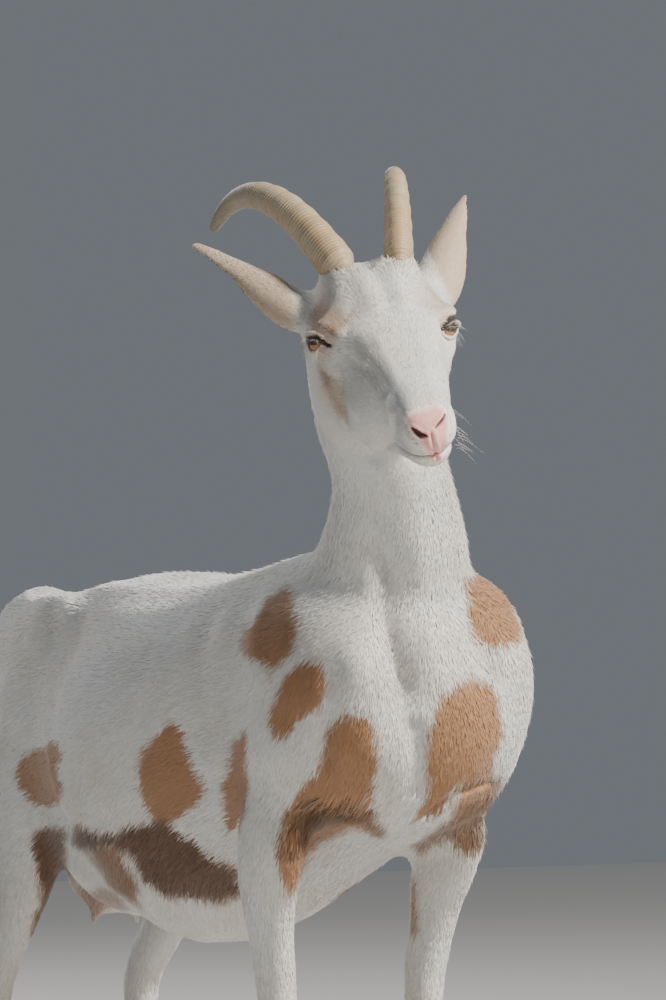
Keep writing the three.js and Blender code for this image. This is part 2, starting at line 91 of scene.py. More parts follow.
def ease(t, low=0.0, high=1.0):
    """0 below low, 1 above high, and a smooth S between."""
    t = np.clip((t - low) / (high - low), 0, 1)
    return t * t * (3 - 2 * t)


def to_head(points):
    """Points in the head's frame, in mm: x to its left, y back along the bridge of the nose, z out of the
    forehead."""
    return (points - HEAD_AT) @ HEAD_TURN * 1000


def from_head(points_mm):
    """The reverse of to_head."""
    return points_mm @ HEAD_TURN.T / 1000 + HEAD_AT


def untwist(head_mm, back=False):
    """The muzzle is rolled 10 degrees about a line a little under the bridge. The roll grows from nothing
    between the eyes to all of it at the nose. Undoing it gives coordinates in which left and right are
    alike."""
    along = (POLL_AT - head_mm[:, 1]) / HEAD_LONG
    angle = np.radians(10) * ease(along, 0.4, 0.95) * (-1 if back else 1)
    x, z = head_mm[:, 0], head_mm[:, 2] + TWIST_DEEP
    c, s = np.cos(angle), np.sin(angle)
    return np.stack([c * x + s * z, head_mm[:, 1], -s * x + c * z - TWIST_DEEP], 1)


def drawn(points):
    """Points in mm from the drawing's zero: the floor under the elbows, with the midline at x = 0."""
    return (points - DRAWN_AT) * 1000


def mirrored(points):
    """The same points with the right side folded onto the left."""
    return np.column_stack([np.abs(points[:, 0]), points[:, 1:]])


# ---- Meshes ----


def linked(name, data):
    """A new object in the scene."""
    obj = bpy.data.objects.new(name, data)
    bpy.context.scene.collection.objects.link(obj)
    return obj


def finished(obj):
    """The mesh that an object's modifiers make of it. The object is removed."""
    done = bpy.data.meshes.new_from_object(obj.evaluated_get(bpy.context.evaluated_depsgraph_get()))
    bpy.data.objects.remove(obj)
    return done


def read(items, field, width, kind=np.int32):
    """One field of a mesh's points, corners or faces as an array with so many numbers a row."""
    numbers = np.zeros(len(items) * width, kind)
    items.foreach_get(field, numbers)
    return numbers.reshape(-1, width)


def make_object(name, verts, faces, smooth=True):
    """A mesh object from an array of points and one array of faces with the same number of corners each."""
    faces = np.asarray(faces, np.int32)
    mesh = bpy.data.meshes.new(name)
    mesh.vertices.add(len(verts))
    mesh.vertices.foreach_set("co", np.asarray(verts, np.float32).ravel())
    mesh.loops.add(faces.size)
    mesh.loops.foreach_set("vertex_index", faces.ravel())
    mesh.polygons.add(len(faces))
    mesh.polygons.foreach_set("loop_start", np.arange(0, faces.size, faces.shape[1], dtype=np.int32))
    mesh.update(calc_edges=True)
    mesh.polygons.foreach_set("use_smooth", np.full(len(faces), smooth))
    return linked(name, mesh)


def points_of(mesh):
    """A mesh's points as an array."""
    return read(mesh.vertices, "co", 3, np.float32).astype(float)


def triangles_of(mesh):
    """A mesh's faces as triangles."""
    mesh.calc_loop_triangles()
    return read(mesh.loop_triangles, "vertices", 3)


def vertex_normals(verts, tris):
    """Normals of the points, each the sum of its triangles' cross products."""
    cross = np.cross(verts[tris[:, 1]] - verts[tris[:, 0]], verts[tris[:, 2]] - verts[tris[:, 0]])
    total = np.zeros_like(verts)
    for corner in range(3):
        for k in range(3):
            total[:, k] += np.bincount(tris[:, corner], weights=cross[:, k], minlength=len(verts))
    return unit(total)


def full_turn(count):
    """So many angles, evenly round a circle."""
    return np.linspace(0, 2 * np.pi, count, endpoint=False)


def closed_tube(grid):
    """Points and quads of a grid of rings (rings, around, 3), closed at both ends by drawing the end rings to
    their middles. The rings turn so that the faces point out where they run along the tube."""
    rings, around = grid.shape[:2]
    ends = [grid[0].mean(0), grid[-1].mean(0)]
    verts = np.concatenate([np.broadcast_to(ends[0], (around, 3)), grid.reshape(-1, 3),
                            np.broadcast_to(ends[1], (around, 3))])
    r, i = np.meshgrid(np.arange(rings + 1), np.arange(around), indexing="ij")
    a, b = r * around + i, r * around + (i + 1) % around
    quads = np.stack([a, b, b + around, a + around], -1).reshape(-1, 4)
    return verts, quads


def tubes(grid):
    """Points and triangles of many tubes (count, rings, around, 3), each closed at both ends by a fan."""
    count, rings, around = grid.shape[:3]
    verts = np.concatenate([grid.reshape(count, -1, 3), grid[:, :1].mean(2), grid[:, -1:].mean(2)], 1)
    r, i = (k.ravel() for k in np.meshgrid(np.arange(rings - 1), np.arange(around), indexing="ij"))
    a, b = r * around + i, r * around + (i + 1) % around
    ring, after, zero = np.arange(around), (np.arange(around) + 1) % around, np.zeros(around, int)
    last, end = (rings - 1) * around, rings * around
    tris = np.concatenate([np.stack(corners, 1) for corners in (
        (a, b, b + around), (a, b + around, a + around), (after, ring, zero + end),
        (ring + last, after + last, zero + end + 1))])
    faces = (tris[None] + verts.shape[1] * np.arange(count)[:, None, None]).reshape(-1, 3)
    return verts.reshape(-1, 3), outward(verts.reshape(-1, 3), faces)


def outward(verts, faces):
    """The same faces, turned round where the closed shape they make is inside out."""
    a, b, c = (verts[faces[:, k]] for k in range(3))
    d = verts[faces[:, -1]]
    volume = np.einsum("ij,ij->", a, np.cross(b, c)) + np.einsum("ij,ij->", a, np.cross(c, d))
    return faces if volume > 0 else faces[:, ::-1]


def node_solid(name, grow=0.0):
    """A CAD node's points, merged, moved out along their normals by grow, with its triangles."""
    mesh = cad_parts[name].data
    verts, tris = points_of(mesh), triangles_of(mesh)
    hundredths = np.round(verts * 1e5).astype(np.int64)
    _, first, where = np.unique(hundredths, axis=0, return_index=True, return_inverse=True)
    verts, tris = verts[first], where.reshape(-1)[tris]
    return verts + vertex_normals(verts, tris) * grow, tris


def ball(centre, radii, basis=np.eye(3), count=14):
    """An ellipsoid: a unit ball's grid of longitudes and latitudes, scaled and turned by basis."""
    lon, lat = np.meshgrid(full_turn(2 * count), np.linspace(-np.pi / 2, np.pi / 2, count + 1)[1:-1])
    grid = np.stack([np.cos(lat) * np.cos(lon), np.cos(lat) * np.sin(lon), np.sin(lat)], -1) * radii
    verts, quads = closed_tube(grid @ np.asarray(basis).T + centre)
    return verts, outward(verts, quads)


def to_triangles(faces):
    """Quads split in two; triangles as they are."""
    return faces if faces.shape[1] == 3 else np.concatenate([faces[:, [0, 1, 2]], faces[:, [0, 2, 3]]])


def remeshed(parts, size):
    """All the closed shapes in parts as one surface of even quads of that size: Blender's voxel remesh."""
    verts, tris, start = [], [], 0
    for v, f in parts:
        verts.append(v)
        tris.append(to_triangles(f) + start)
        start += len(v)
    rough = make_object("rough", np.concatenate(verts), np.concatenate(tris))
    voxels = rough.modifiers.new("voxels", "REMESH")
    voxels.mode = "VOXEL"
    voxels.voxel_size = size
    done = finished(rough)
    return points_of(done), read(done.loops, "vertex_index", 1).reshape(-1, 4)


def edge_list(faces):
    """Each edge of the faces once."""
    pairs = np.concatenate([faces[:, [k, (k + 1) % faces.shape[1]]] for k in range(faces.shape[1])])
    pairs.sort(axis=1)
    most = faces.max() + 1
    key = np.unique(pairs[:, 0].astype(np.int64) * most + pairs[:, 1])
    return np.stack([key // most, key % most], 1)


def largest_piece(verts, quads):
    """The connected surface with the most points: labels spread along the edges until they settle."""
    edges = edge_list(quads)
    label = np.arange(len(verts))
    while True:
        low = np.minimum(label[edges[:, 0]], label[edges[:, 1]])
        new = label.copy()
        np.minimum.at(new, edges[:, 0], low)
        np.minimum.at(new, edges[:, 1], low)
        new = new[new]
        if np.array_equal(new, label):
            break
        label = new
    keep = label == np.bincount(label).argmax()
    index = np.cumsum(keep) - 1
    return verts[keep], index[quads[keep[quads[:, 0]]]]


class Web:
    """The edges of a surface, for averaging values over neighbours."""

    def __init__(self, count, faces):
        edges = edge_list(faces)
        self.count = count
        self.here = np.concatenate([edges[:, 0], edges[:, 1]])
        self.there = np.concatenate([edges[:, 1], edges[:, 0]])
        self.degree = np.maximum(np.bincount(self.here, minlength=count), 1)

    def average(self, values):
        """Each point's value becomes the mean of its neighbours'."""
        if values.ndim == 1:
            return np.bincount(self.here, weights=values[self.there], minlength=self.count) / self.degree
        return np.stack([self.average(values[:, k]) for k in range(values.shape[1])], 1)

    def blur(self, values, rounds, share=0.6):
        """Moves the values towards their neighbours' mean, share of the way, for a number of rounds."""
        share = share[:, None] if values.ndim > 1 and np.ndim(share) == 1 else share
        for _ in range(rounds):
            values = values + share * (self.average(values) - values)
        return values


def bell(far, width, power=2):
    """exp(-(far / width)^power): 1 at nothing, fading over the width."""
    return np.exp(-((far / width) ** power))


def blob(points, centre, reach):
    """A soft bump: 1 at the centre, fading as exp(-d squared), with d in the three reaches."""
    return np.exp(-(((points - np.asarray(centre)) / np.asarray(reach)) ** 2).sum(1))


def near_line(points, stops):
    """(distance to a broken line, share of the way along it), the nearest of all its stretches."""
    stops = np.asarray(stops, float)
    lengths = np.linalg.norm(np.diff(stops, axis=0), axis=1)
    starts = np.concatenate([[0], np.cumsum(lengths)]) / lengths.sum()
    best, where = np.full(len(points), 1e9), np.zeros(len(points))
    for k in range(len(stops) - 1):
        d = stops[k + 1] - stops[k]
        t = np.clip((points - stops[k]) @ d / (d @ d), 0, 1)
        far = np.linalg.norm(points - stops[k] - t[:, None] * d, axis=1)
        closer = far < best
        best = np.where(closer, far, best)
        where = np.where(closer, starts[k] + t * (starts[k + 1] - starts[k]), where)
    return best, where


def crease(points, stops, width, fade=0.15):
    """A soft line: exp(-(distance / width) squared), fading at both ends of the way."""
    far, where = near_line(points, stops)
    return bell(far, width) * ease(where, -0.001, fade) * (1 - ease(where, 1 - fade, 1.001))


# ---- The lie of the land: where each part of the animal is ----


def headness(points):
    """1 on the head and its ears, 0 on the neck, with a soft step a few centimetres deep between."""
    away = (drawn(points) - [-42, -85, 860]) @ unit(np.array([-0.29, -0.92, 0.26]))
    high = ease(drawn(points)[:, 2], 760, 800)
    ears = ease(np.abs(to_head(points)[:, 0]), 50, 66) * ease(to_head(points)[:, 2], -40, -25)
    return np.maximum(ease(away, -14, 18) * ease(drawn(points)[:, 2], 640, 700), high * ears)


def legness(points):
    """1 from the knees and hocks down, growing from 0 at the elbows and stifles."""
    return 1 - ease(drawn(points)[:, 2], 300, 430)


def by_ears(head_mm, out=(62, 72), back=(40, 55)):
    """1 on the ears, by soft steps over how far out and how far back they are, in mm."""
    return ease(np.abs(head_mm[:, 0]), *out) * ease(head_mm[:, 1], *back)


# ---- Ears ----

EAR_MM = 134


def ear_frame(side):
    """The ear's root in the head's frame, and its directions: along it, towards its mouth, and across it."""
    axis = unit(np.array([0.50, 0.80, 0.29]) if side > 0 else np.array([-0.59, 0.79, 0.18]))
    mouth = np.array([side * 0.5, -0.1, -0.86])
    mouth = unit(mouth - axis * (mouth @ axis))
    return np.array([side * 55.0, 60.0, -10.0]), axis, mouth, np.cross(axis, mouth)


def ear_shape(side, rings=72, around=56):
    """A leaf-shaped cup. Each ring is a bent strip, walked along its outer face and back along its inner
    face, so that its two edges are rounded: an arc of radius (15 + 5 s) (1 - t^4)^0.75 + 1.9 mm, narrowed
    beyond its middle, that opens from 300 to 164 degrees, s being how far it has opened. The tip curls a
    little, more on the left ear, and the edges wave."""
    root, axis, mouth, edge = ear_frame(side)
    t = np.linspace(0, 1, rings)[:, None]
    opened = ease(t, 0, 0.25)
    narrowed = 1 - (0.44 if side > 0 else 0.4) * ease(t, 0.3, 0.95)
    radius = (15 + 5 * opened) * np.clip(1 - t**4, 0, 1) ** 0.75 * narrowed + 1.9
    wall = 5.6 - 1.9 * t
    curl = np.radians(150 + (82 - 150) * np.minimum(1, t * 1.6)) * (1 - 0.1 * ease(t, 0.75, 1))
    walk = full_turn(around)[None, :]
    across = np.cos(walk)  # 1 at one edge of the leaf, -1 at the other
    thick = np.sign(np.sin(walk)) * np.abs(np.sin(walk)) ** 0.6
    angle = curl * across
    r = radius + wall / 2 * thick + 0.8 * np.sin(7 * t + side * 2 + 3 * across) * ease(t, 0.2, 0.6) * across
    centre = (EAR_MM + 12) * t - 12
    fold = (5.0 if side > 0 else 2.0) * ease(t, 0.72, 1) ** 2 * (0.4 + across)
    spots = root + centre[..., None] * axis
    spots = spots + (6 * np.sin(np.pi * t) - r * np.cos(angle) + fold)[..., None] * mouth
    spots = spots + (r * np.sin(angle))[..., None] * edge
    verts, quads = closed_tube(spots)
    return from_head(verts), quads


# ---- Skin ----

VOXEL = 0.0021  # the size of the skin's first quads, in metres
SOFTENING, FILLING = ((110, 30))  # rounds of blurring, and of filling creases
MOST_TRIANGLES = 198000  # in the finished skin
# Under each horn, ear and nostril: the place in the head's frame, in mm, and the half-widths in metres.
PLUGS = (
    ((28, 66, 27), (0.017, 0.022, 0.016)),
    ((52, 62, -12), (0.016, 0.021, 0.020)),
    ((11, -124, -10), (0.012, 0.016, 0.012)),
)


def filled_flesh():
    """The flesh solids a little swollen, so that the cuts between them close, with plugs where eyes, horns,
    ears, nostrils and dewclaws are set in, and with the ears."""
    parts = [node_solid(name, 0.0005) for name in FLESH]
    for side in SIDES.values():
        plugs = [(eye_at(side) + [side * 0.5, -1, 0], np.full(3, 0.0152))]
        plugs += [(np.array(at) * [side, 1.0, 1.0], half) for at, half in PLUGS]
        parts += [ball(from_head(at[None])[0], half, HEAD_TURN) for at, half in plugs]
        ear, quads = ear_shape(side)
        parts.append((ear, outward(ear, quads)))
    for foot in ("front_left", "front_right", "hind_left", "hind_right"):
        for which in ("inner", "outer"):
            spot = middle(f"dewclaw_{foot}_{which}")
            parts.append(ball(spot + [0, -0.003, 0], [0.0075, 0.0075, 0.009]))
    return parts


def softened(verts, quads):
    """The facets blurred away, more on the broad trunk than on the fine head and legs. What the blur takes
    off the roundness of the legs and ears is itself blurred and put back."""
    web = Web(len(verts), quads)
    tris = to_triangles(quads)
    head, leg = headness(verts), legness(verts)
    place = drawn(verts)
    tail = ease(place[:, 1], 596, 612) * ease(place[:, 2], 470, 500)
    share = 0.62 * (1 - 0.75 * head) * (1 - 0.72 * leg) * (1 - 0.7 * tail)
    share *= 1 - 0.55 * ease(np.abs(to_head(verts)[:, 0]), 62, 80) * head
    smooth = web.blur(verts, SOFTENING, share)
    normal = vertex_normals(smooth, tris)
    lost = ((verts - smooth) * normal).sum(1)
    return smooth + normal * web.blur(lost, SOFTENING, 0.62)[:, None] * 0.92, web


def filleted(verts, quads, web, rounds):
    """Creases between parts filled as skin fills them: for some rounds each point may move towards its
    neighbours' mean, but only outwards, so that hollows fill and ridges stay."""
    tris = to_triangles(quads)
    head = headness(verts)
    place = drawn(verts)
    face = head * (1 - ease(to_head(verts)[:, 1], 62, 96))
    share = 0.9 * (1 - 0.88 * face) * (1 - 0.6 * legness(verts) * (1 - ease(place[:, 2], 240, 420)))
    inner_ear = ease(np.abs(to_head(verts)[:, 0]), 66, 80) * head
    share *= 1 - inner_ear
    for k in range(rounds):
        if k % 10 == 0:
            normal = vertex_normals(verts, tris)
        step = ((web.average(verts) - verts) * normal).sum(1)
        step = np.maximum(web.blur(step, 2, 0.6), 0) * share
        verts = verts + normal * step[:, None]
    return verts


def refined(verts, tris, pick):
    """The picked triangles cut in four at their edges' middles, and their neighbours cut to match."""
    ends = np.stack([tris, np.roll(tris, -1, axis=1)], -1)  # edge k runs from corner k to the next
    low, high = ends.min(2), ends.max(2)
    key = low.astype(np.int64) * len(verts) + high
    cut_keys = np.unique(key[pick])
    slot = np.searchsorted(cut_keys, key).clip(0, len(cut_keys) - 1)
    marked = cut_keys[slot] == key
    middles = (verts[cut_keys // len(verts)] + verts[cut_keys % len(verts)]) / 2
    mid = slot + len(verts)
    count = marked.sum(1)
    out = [tris[count == 0]]
    t, m = tris[count == 3], mid[count == 3]
    out += [np.stack([t[:, k], m[:, k], m[:, k - 1]], 1) for k in range(3)] + [m]
    for k in range(3):
        a, b, c = tris[:, k], tris[:, (k + 1) % 3], tris[:, (k + 2) % 3]
        one = (count == 1) & marked[:, k]
        m = mid[:, k]
        out += [np.stack([a[one], m[one], c[one]], 1), np.stack([m[one], b[one], c[one]], 1)]
        two = (count == 2) & ~marked[:, k]
        mb, mc = mid[:, (k + 1) % 3], mid[:, (k + 2) % 3]
        out += [np.stack([a[two], b[two], mb[two]], 1), np.stack([a[two], mb[two], mc[two]], 1),
                np.stack([mc[two], mb[two], c[two]], 1)]
    return np.concatenate([verts, middles]), np.concatenate(out)


def near_eye(head_mm):
    """How far a point is from the middle of the nearer eye's opening, in mm."""
    return np.linalg.norm(mirrored(head_mm) - [62.0, 0, 0], axis=1)


def finer_face(verts, tris):
    """The skin's triangles halved on the front of the face, and again at the eyes, the nose and the lips."""
    for span_eye, span_nose in ((34, 46), (23, 24)):
        here = to_head(verts[tris].mean(1))
        flat = untwist(here)
        nose = np.linalg.norm((flat - NOSE_AT) / [1, 1, 1.5], axis=1)
        verts, tris = refined(verts, tris, (near_eye(here) < span_eye) | (nose < span_nose))
    return verts, tris


def coat_depth(verts):
    """How far the skin lies under the tips of the coat, in metres."""
    head, place, here = headness(verts), drawn(verts), untwist(to_head(verts))
    depth = 0.0045 - 0.0022 * legness(verts)
    depth = depth + 0.002 * blob(place, [0, -110, 470], [90, 60, 60])
    depth = depth + 0.0015 * (1 - ease(place[:, 2], 420, 500))
    face = 0.0016 * ease(here[:, 1], -128, -100)
    face = face * (1 - 0.6 * by_ears(to_head(verts))) * ease(near_eye(to_head(verts)), 14, 30)
    hoof = ease(place[:, 2], 20, 70)
    return depth * hoof * (1 - head) + face * head


def lid_place(head_mm, side):
    """Where points lie about an eyeball: (degrees outwards along the slit, degrees up, distance from its
    centre), with the ball's gaze and the slit's two directions."""
    centre = eye_at(side)
    gaze = unit(GAZE[side])
    slit = np.array([side * 0.55, 0.78, -0.30])
    slit = unit(slit - gaze * (slit @ gaze))
    up = np.cross(gaze, slit) * side
    away = head_mm - centre
    far = np.linalg.norm(away, axis=1)
    ahead, out, high = away @ gaze, away @ slit, away @ up
    return np.degrees(np.arctan2(out, ahead)), np.degrees(np.arctan2(high, ahead)), far, gaze, slit, up


LID_MID, LID_HALF = 4.0, 40.0  # the opening's middle and half-width, in degrees along the slit
CORNER = [(59, -4, 8.0), (52, -8, 4.5), (45, -16, 2.0)]  # from the opening to the inner corner, in mm
LID_SHADE_BAND = {  # painted shade under each side's heavy upper lid, over its dark edge, from the outer end inwards, in mm in the head's frame
    -1.0: [(-66, 5, 9), (-64.6, 0.8, 10), (-59.9, -5.4, 6.7), (-52.5, -8.5, 3.3), (-46.5, -18, 4)],
    1.0: [(68, 12, 3), (63.7, 6.4, 8.1), (59.4, -1, 12.6), (54.4, -4.9, 14.4), (50.4, -6.3, 11.7),
          (46, -12, 6)],
}


def lid_edges(out, side):
    """The upper and lower lids' edges, in degrees up, over the place along the slit: an almond whose height
    is (1 - s^2)^0.8 with s from -1 at the inner corner to 1 at the outer. The upper lid hangs low over it,
    and the left eye is narrowed against the light."""
    s = np.clip((out - LID_MID) / LID_HALF, -1, 1)
    full = (1 - s * s) ** 0.8 * (0.74 if side > 0 else 1)
    slope = -5.0 * s
    return slope + 7 * full * (1 + 0.2 * s), slope - 26 * full * (1 - 0.1 * s), s


def eyes_opened(verts):
    """The skin parted over each eyeball: inside the almond it dips behind the ball, its edge is a lid 1.5 to
    2.5 mm thick that lies on the ball, and beyond it runs out into the face through a crease and a heavy
    upper fold."""
    points = to_head(verts)
    for side in SIDES.values():
        out, high, far, gaze, slit, up = lid_place(points, side)
        near = (far < 34) & (np.abs(out) < 100) & (np.abs(high) < 80) & (points[:, 0] * side > 20)
        o, h, r = out[near], high[near], far[near]
        top, low, s = lid_edges(o, side)
        past = np.maximum(np.abs((o - LID_MID) / LID_HALF) - 1, 0) * LID_HALF
        over, under = h - top, low - h
        gap = np.where(past > 0, np.hypot(past, np.maximum(np.maximum(over, under), 0)),
                       np.maximum(over, under))
        snap = (np.abs(gap) < 2.2) & (past == 0)
        h = np.where(snap, h - np.where(over > under, over, -under), h)
        gap = np.where(snap, 0.01, gap)
        upper = ease(over, -2, 6)
        lid = EYE_R_MM + 0.6 + (0.9 + 2.2 * upper) * (1 - np.exp(-np.maximum(gap, 0) / (2.2 + 1.4 * upper)))
        lid = lid - 0.9 * bell(gap - 15, 3.5) * upper + 2.0 * bell(gap - 25, 8) * upper
        lid = lid + 0.9 * bell(gap - 9, 5) * (1 - upper) - 0.7 * bell(gap - 19, 4) * (1 - upper)
        out_there = ease(gap, 14, 46)
        new = np.where(gap < 0, EYE_R_MM - 2.6, lid * (1 - out_there) + r * out_there)
        a, b = np.tan(np.radians(np.clip(o, -85, 85))), np.tan(np.radians(np.clip(h, -80, 80)))
        ray = unit(gaze + a[:, None] * slit + b[:, None] * up)
        ahead = (np.abs(o) < 85) & (np.abs(h) < 78)
        moved = eye_at(side) + ray * new[:, None]
        points[near] = np.where(ahead[:, None], moved, points[near])
        line = np.array(CORNER) * [side, 1, 1]
        hood = crease(points, np.concatenate([[[side * 64, 4, 13]], line]) + [0, 2, 5.0], 3.4)
        points += gaze * (hood - 1.7 * crease(points, line, 1.7, 0.3))[:, None]
    return from_head(points)


NOSTRILS = {  # slits from the inner to the outer end, (left, up) in mm on the front of the nose
    "right": [(-7.6, -9.0), (-12.2, -8.4), (-16.8, -3.2)],
    "left": [(1.6, -4.6), (5.8, -3.0), (10.4, -1.0), (13.0, 0.6)],
}
PHILTRUM = [(-3.6, -8), (-3.4, -15), (-2.4, -24), (0.0, -36), (0.8, -45)]
PAD = {  # the edges of the bare skin, mm to the left, at heights
    "up": (-46, -40, -24, -12, -6, -1, 5, 9),
    "right": (-4, -5, -10, -14, -17.5, -19.5, -17.5, -11),
    "left": (5, 6, 8.5, 11, 14, 15.5, 12.5, 6),
}
LIPS = (  # how far back, and how far up, the cut between them runs
    (-140, -132, -115, -95, -76, -62),
    (-36.5, -38, -41, -44, -47, -45.5),
)


def slit_shape(flat):
    """(how far inside a nostril's slit, its distance in mm, whether it is the wide right one) on the nose's
    front. The wide one is a half-moon 5 mm deep, the narrow one a line 2 mm wide."""
    across = flat[:, [0, 2]]
    front = ease(flat[:, 1], -110, -122)
    wide_far, wide_way = near_line(across, NOSTRILS["right"])
    thin_far, thin_way = near_line(across, NOSTRILS["left"])
    half_wide = 0.7 + 1.7 * np.sin(np.pi * np.clip(wide_way, 0.03, 0.97)) ** 0.7
    half_thin = 0.45 + 0.55 * np.sin(np.pi * np.clip(thin_way, 0.03, 0.97))
    far = np.minimum(wide_far - half_wide, thin_far - half_thin)
    return (1 - ease(far, -0.7, 0.7)) * front, far, wide_far < thin_far


# The finer forms of flesh and bone, each in one of the frames that carved() names: its height in mm, its line
# or its middle in mm, and its width or its three reaches in mm.
FACE_FORMS = (
    # brow, cheek and nose bones
    ("both", 2.8, [(40, -18, 16), (52, -6, 20), (62, 6, 18), (66, 22, 8)], 7),
    ("both", 1.6, [(46, -24, -14), (60, -4, -20), (64, 18, -16)], 6),
    ("both", 1.8, [(56, -6, -28), (50, -34, -32), (38, -62, -34)], 8),
    ("both", -2.8, [45, -32, -4], [8, 14, 12]),
    ("both", -1.6, [(45, -20, 6), (40, -38, 2), (32, -56, 2)], 5),
    ("both", -2.6, [(35, -46, 8), (29, -66, 6), (24, -90, 0)], 6),
    ("both", -2.2, [52, 34, 20], [12, 16, 12]),
    ("both", 1.4, [(20, -30, 26), (18, -60, 22), (15, -92, 16)], 5),
    ("both", -1.9, [(0, 56, 48), (0, 30, 42), (0, -4, 31)], 7),
    ("both", 1.6, [(15, 44, 48), (14, 14, 40), (12, -14, 30)], 7),
    ("both", -1.2, [(26, 36, 45), (29, 12, 37), (34, -10, 27)], 6),
    ("both", 1.0, [29, 60, 44], [15, 16, 12]),
    ("head", -7.0, [-2, 68, 46], [18, 20, 16]),
    ("head", -6.0, [-2, 66, 44], [9, 20, 16]),
    # jaw, chin and the wrinkles behind the mouth
    ("both", 1.8, [(44, 30, -98), (34, -40, -84), (26, -80, -68)], 8),
    ("both", 2.0, [0, -118, -56], [16, 16, 10]),
    *(("both", -0.7, [(33, back, -34), (33.5, back + 5, -46), (30, back + 6, -58)], 2.2)
      for back in (-66, -59, -52)),
    # the right cheek is full: a long swelling whose front edge stands out from the muzzle
    ("head", 6.4, [-37, -62, -46], [16, 26, 34]),
    ("head", 6.0, [-46, 18, -98], [22, 30, 30]),
    ("head", 8.0, [-42, 8, -116], [22, 30, 24]),
    ("nose", -4.0, [24, -120, -8], [8, 20, 18]),
    ("head", 1.8, [37, -56, -50], [16, 26, 30]),
    ("head", -5.6, [(-27, -90, 4), (-28, -106, -10), (-27, -106, -28), (-25, -90, -52), (-23, -66, -74)], 5),
    ("head", 2.2, [(-32, -80, -40), (-31, -68, -60), (-29, -48, -80), (-27, -28, -92)], 6),
    ("head", -1.8, [(-47, -22, -12), (-49, -36, -34), (-46, -38, -60), (-42, -30, -86)], 4.5),
    ("head", 1.4, [(-54, -14, -32), (-50, -28, -50), (-48, -22, -70)], 6),
    ("both", -3.0, [(12, -60, -88), (20, -20, -106), (30, 14, -116), (40, 40, -112)], 9),
)
CHEST_FORMS = (
    ("body", -5.0, [(-38, -84, 716), (-36, -100, 673), (-38, -126, 603), (-32, -141, 552)], 11),
    ("body", -4.0, [-34, -136, 566], [14, 22, 34]),
    ("body", -3.2, [(26, -96, 712), (42, -110, 645), (52, -128, 600), (54, -142, 556)], 11),
    ("body", 3.2, [(-8, -104, 730), (-4, -124, 660), (-2, -140, 590), (-8, -146, 556)], 15),
    ("body", 5.0, [-68, -122, 582], [20, 24, 26]),
    ("body", 4.0, [78, -124, 592], [22, 24, 30]),
    ("body", 4.0, [-68, -118, 514], [26, 30, 36]),
    ("body", 4.0, [38, -138, 514], [30, 30, 44]),
    ("body", -3.4, [(-26, -142, 544), (-20, -140, 500), (-12, -122, 458)], 10),
    ("body", -3.6, [(82, -112, 482), (53, -125, 474), (31, -127, 468), (17, -116, 454), (8, -97, 439)], 6),
    ("body", -3.6, [(-30, -100, 450), (-60, -94, 460), (-82, -68, 456), (-95, -50, 430)], 6),
    ("sides", -2.6, [(84, -108, 590), (90, -104, 540), (88, -96, 490)], 10),
)
BODY_FORMS = (
    # throat, shoulder, ribs and back
    ("body", 8.0, [-74, -72, 784], [26, 36, 32]),
    ("sides", 3.2, [(89, 20, 652), (108, -8, 602), (116, -38, 556)], 12),
    ("sides", 2.5, [(60, 70, 690), (96, 64, 640), (116, 50, 590)], 14),
    ("sides", -2.8, [(104, 96, 640), (126, 76, 560), (128, 58, 490)], 14),
    ("sides", 2.0, [(0, 60, 716), (0, 200, 704), (0, 360, 690), (0, 520, 668)], 10),
    *(("sides", 1.2, [(118, back - 16, 600), (136, back + 4, 540), (132, back + 12, 470)], 7)
      for back in (118, 152, 186, 220, 254)),
    # flank, haunch and hind leg
    ("sides", -4.5, [124, 330, 600], [40, 44, 40]),
    ("sides", 3.5, [(78, 372, 668), (98, 378, 650), (108, 396, 620)], 15),
    ("sides", 2.5, [(132, 300, 420), (134, 330, 470), (132, 352, 540)], 12),
    ("sides", -2.5, [(112, 520, 560), (116, 500, 480), (104, 490, 400)], 14),
    ("sides", 1.6, [(96, 584, 330), (92, 600, 280), (90, 590, 220)], 7),
    ("sides", -1.5, [(96, 552, 330), (94, 570, 290)], 8),
)
CHEST_STRENGTH = 1.9


def raised(frames, forms):
    """The forms added up, in mm: a crease along each line, a blob round each middle."""
    total = 0.0
    for frame_name, height, where, size in forms:
        shape = crease if np.ndim(where) == 2 else blob
        total = total + height * shape(frames[frame_name], where, size)
    return total


def mouth_and_nose(flat):
    """The heights, in mm, of a mouth cut at a height that changes along the muzzle, between rounded lips, and
    of the nose: the groove under it, the roll above the nostrils and the folds at its sides."""
    fading = ease(flat[:, 1], -88, -106)
    fading = fading * ease(np.abs(flat[:, 0]) + 0.35 * np.maximum(-110 - flat[:, 1], 0), 2, 8)
    apart = flat[:, 2] - np.interp(flat[:, 1], *LIPS)
    mouth = (bell(np.abs(apart) - 4.5, 2.6) - 2.4 * bell(apart, 1.2)) * fading
    groove = near_line(flat[:, [0, 2]], PHILTRUM)[0]
    nose = 0.9 * bell(groove - 3.4, 2.2) - bell(groove, 1.0)
    for height, line, width in ((1.3, [(-13, 1), (-2, 3), (9, 3)], 4.5),
                                (-1.3, [(19, 7), (19, -6), (14, -18)], 2.6),
                                (-1.3, [(-22, 7), (-22, -4), (-17, -16)], 2.6)):
        nose = nose + height * bell(near_line(flat[:, [0, 2]], line)[0], width)
    return mouth + nose * ease(flat[:, 1], -112, -124)


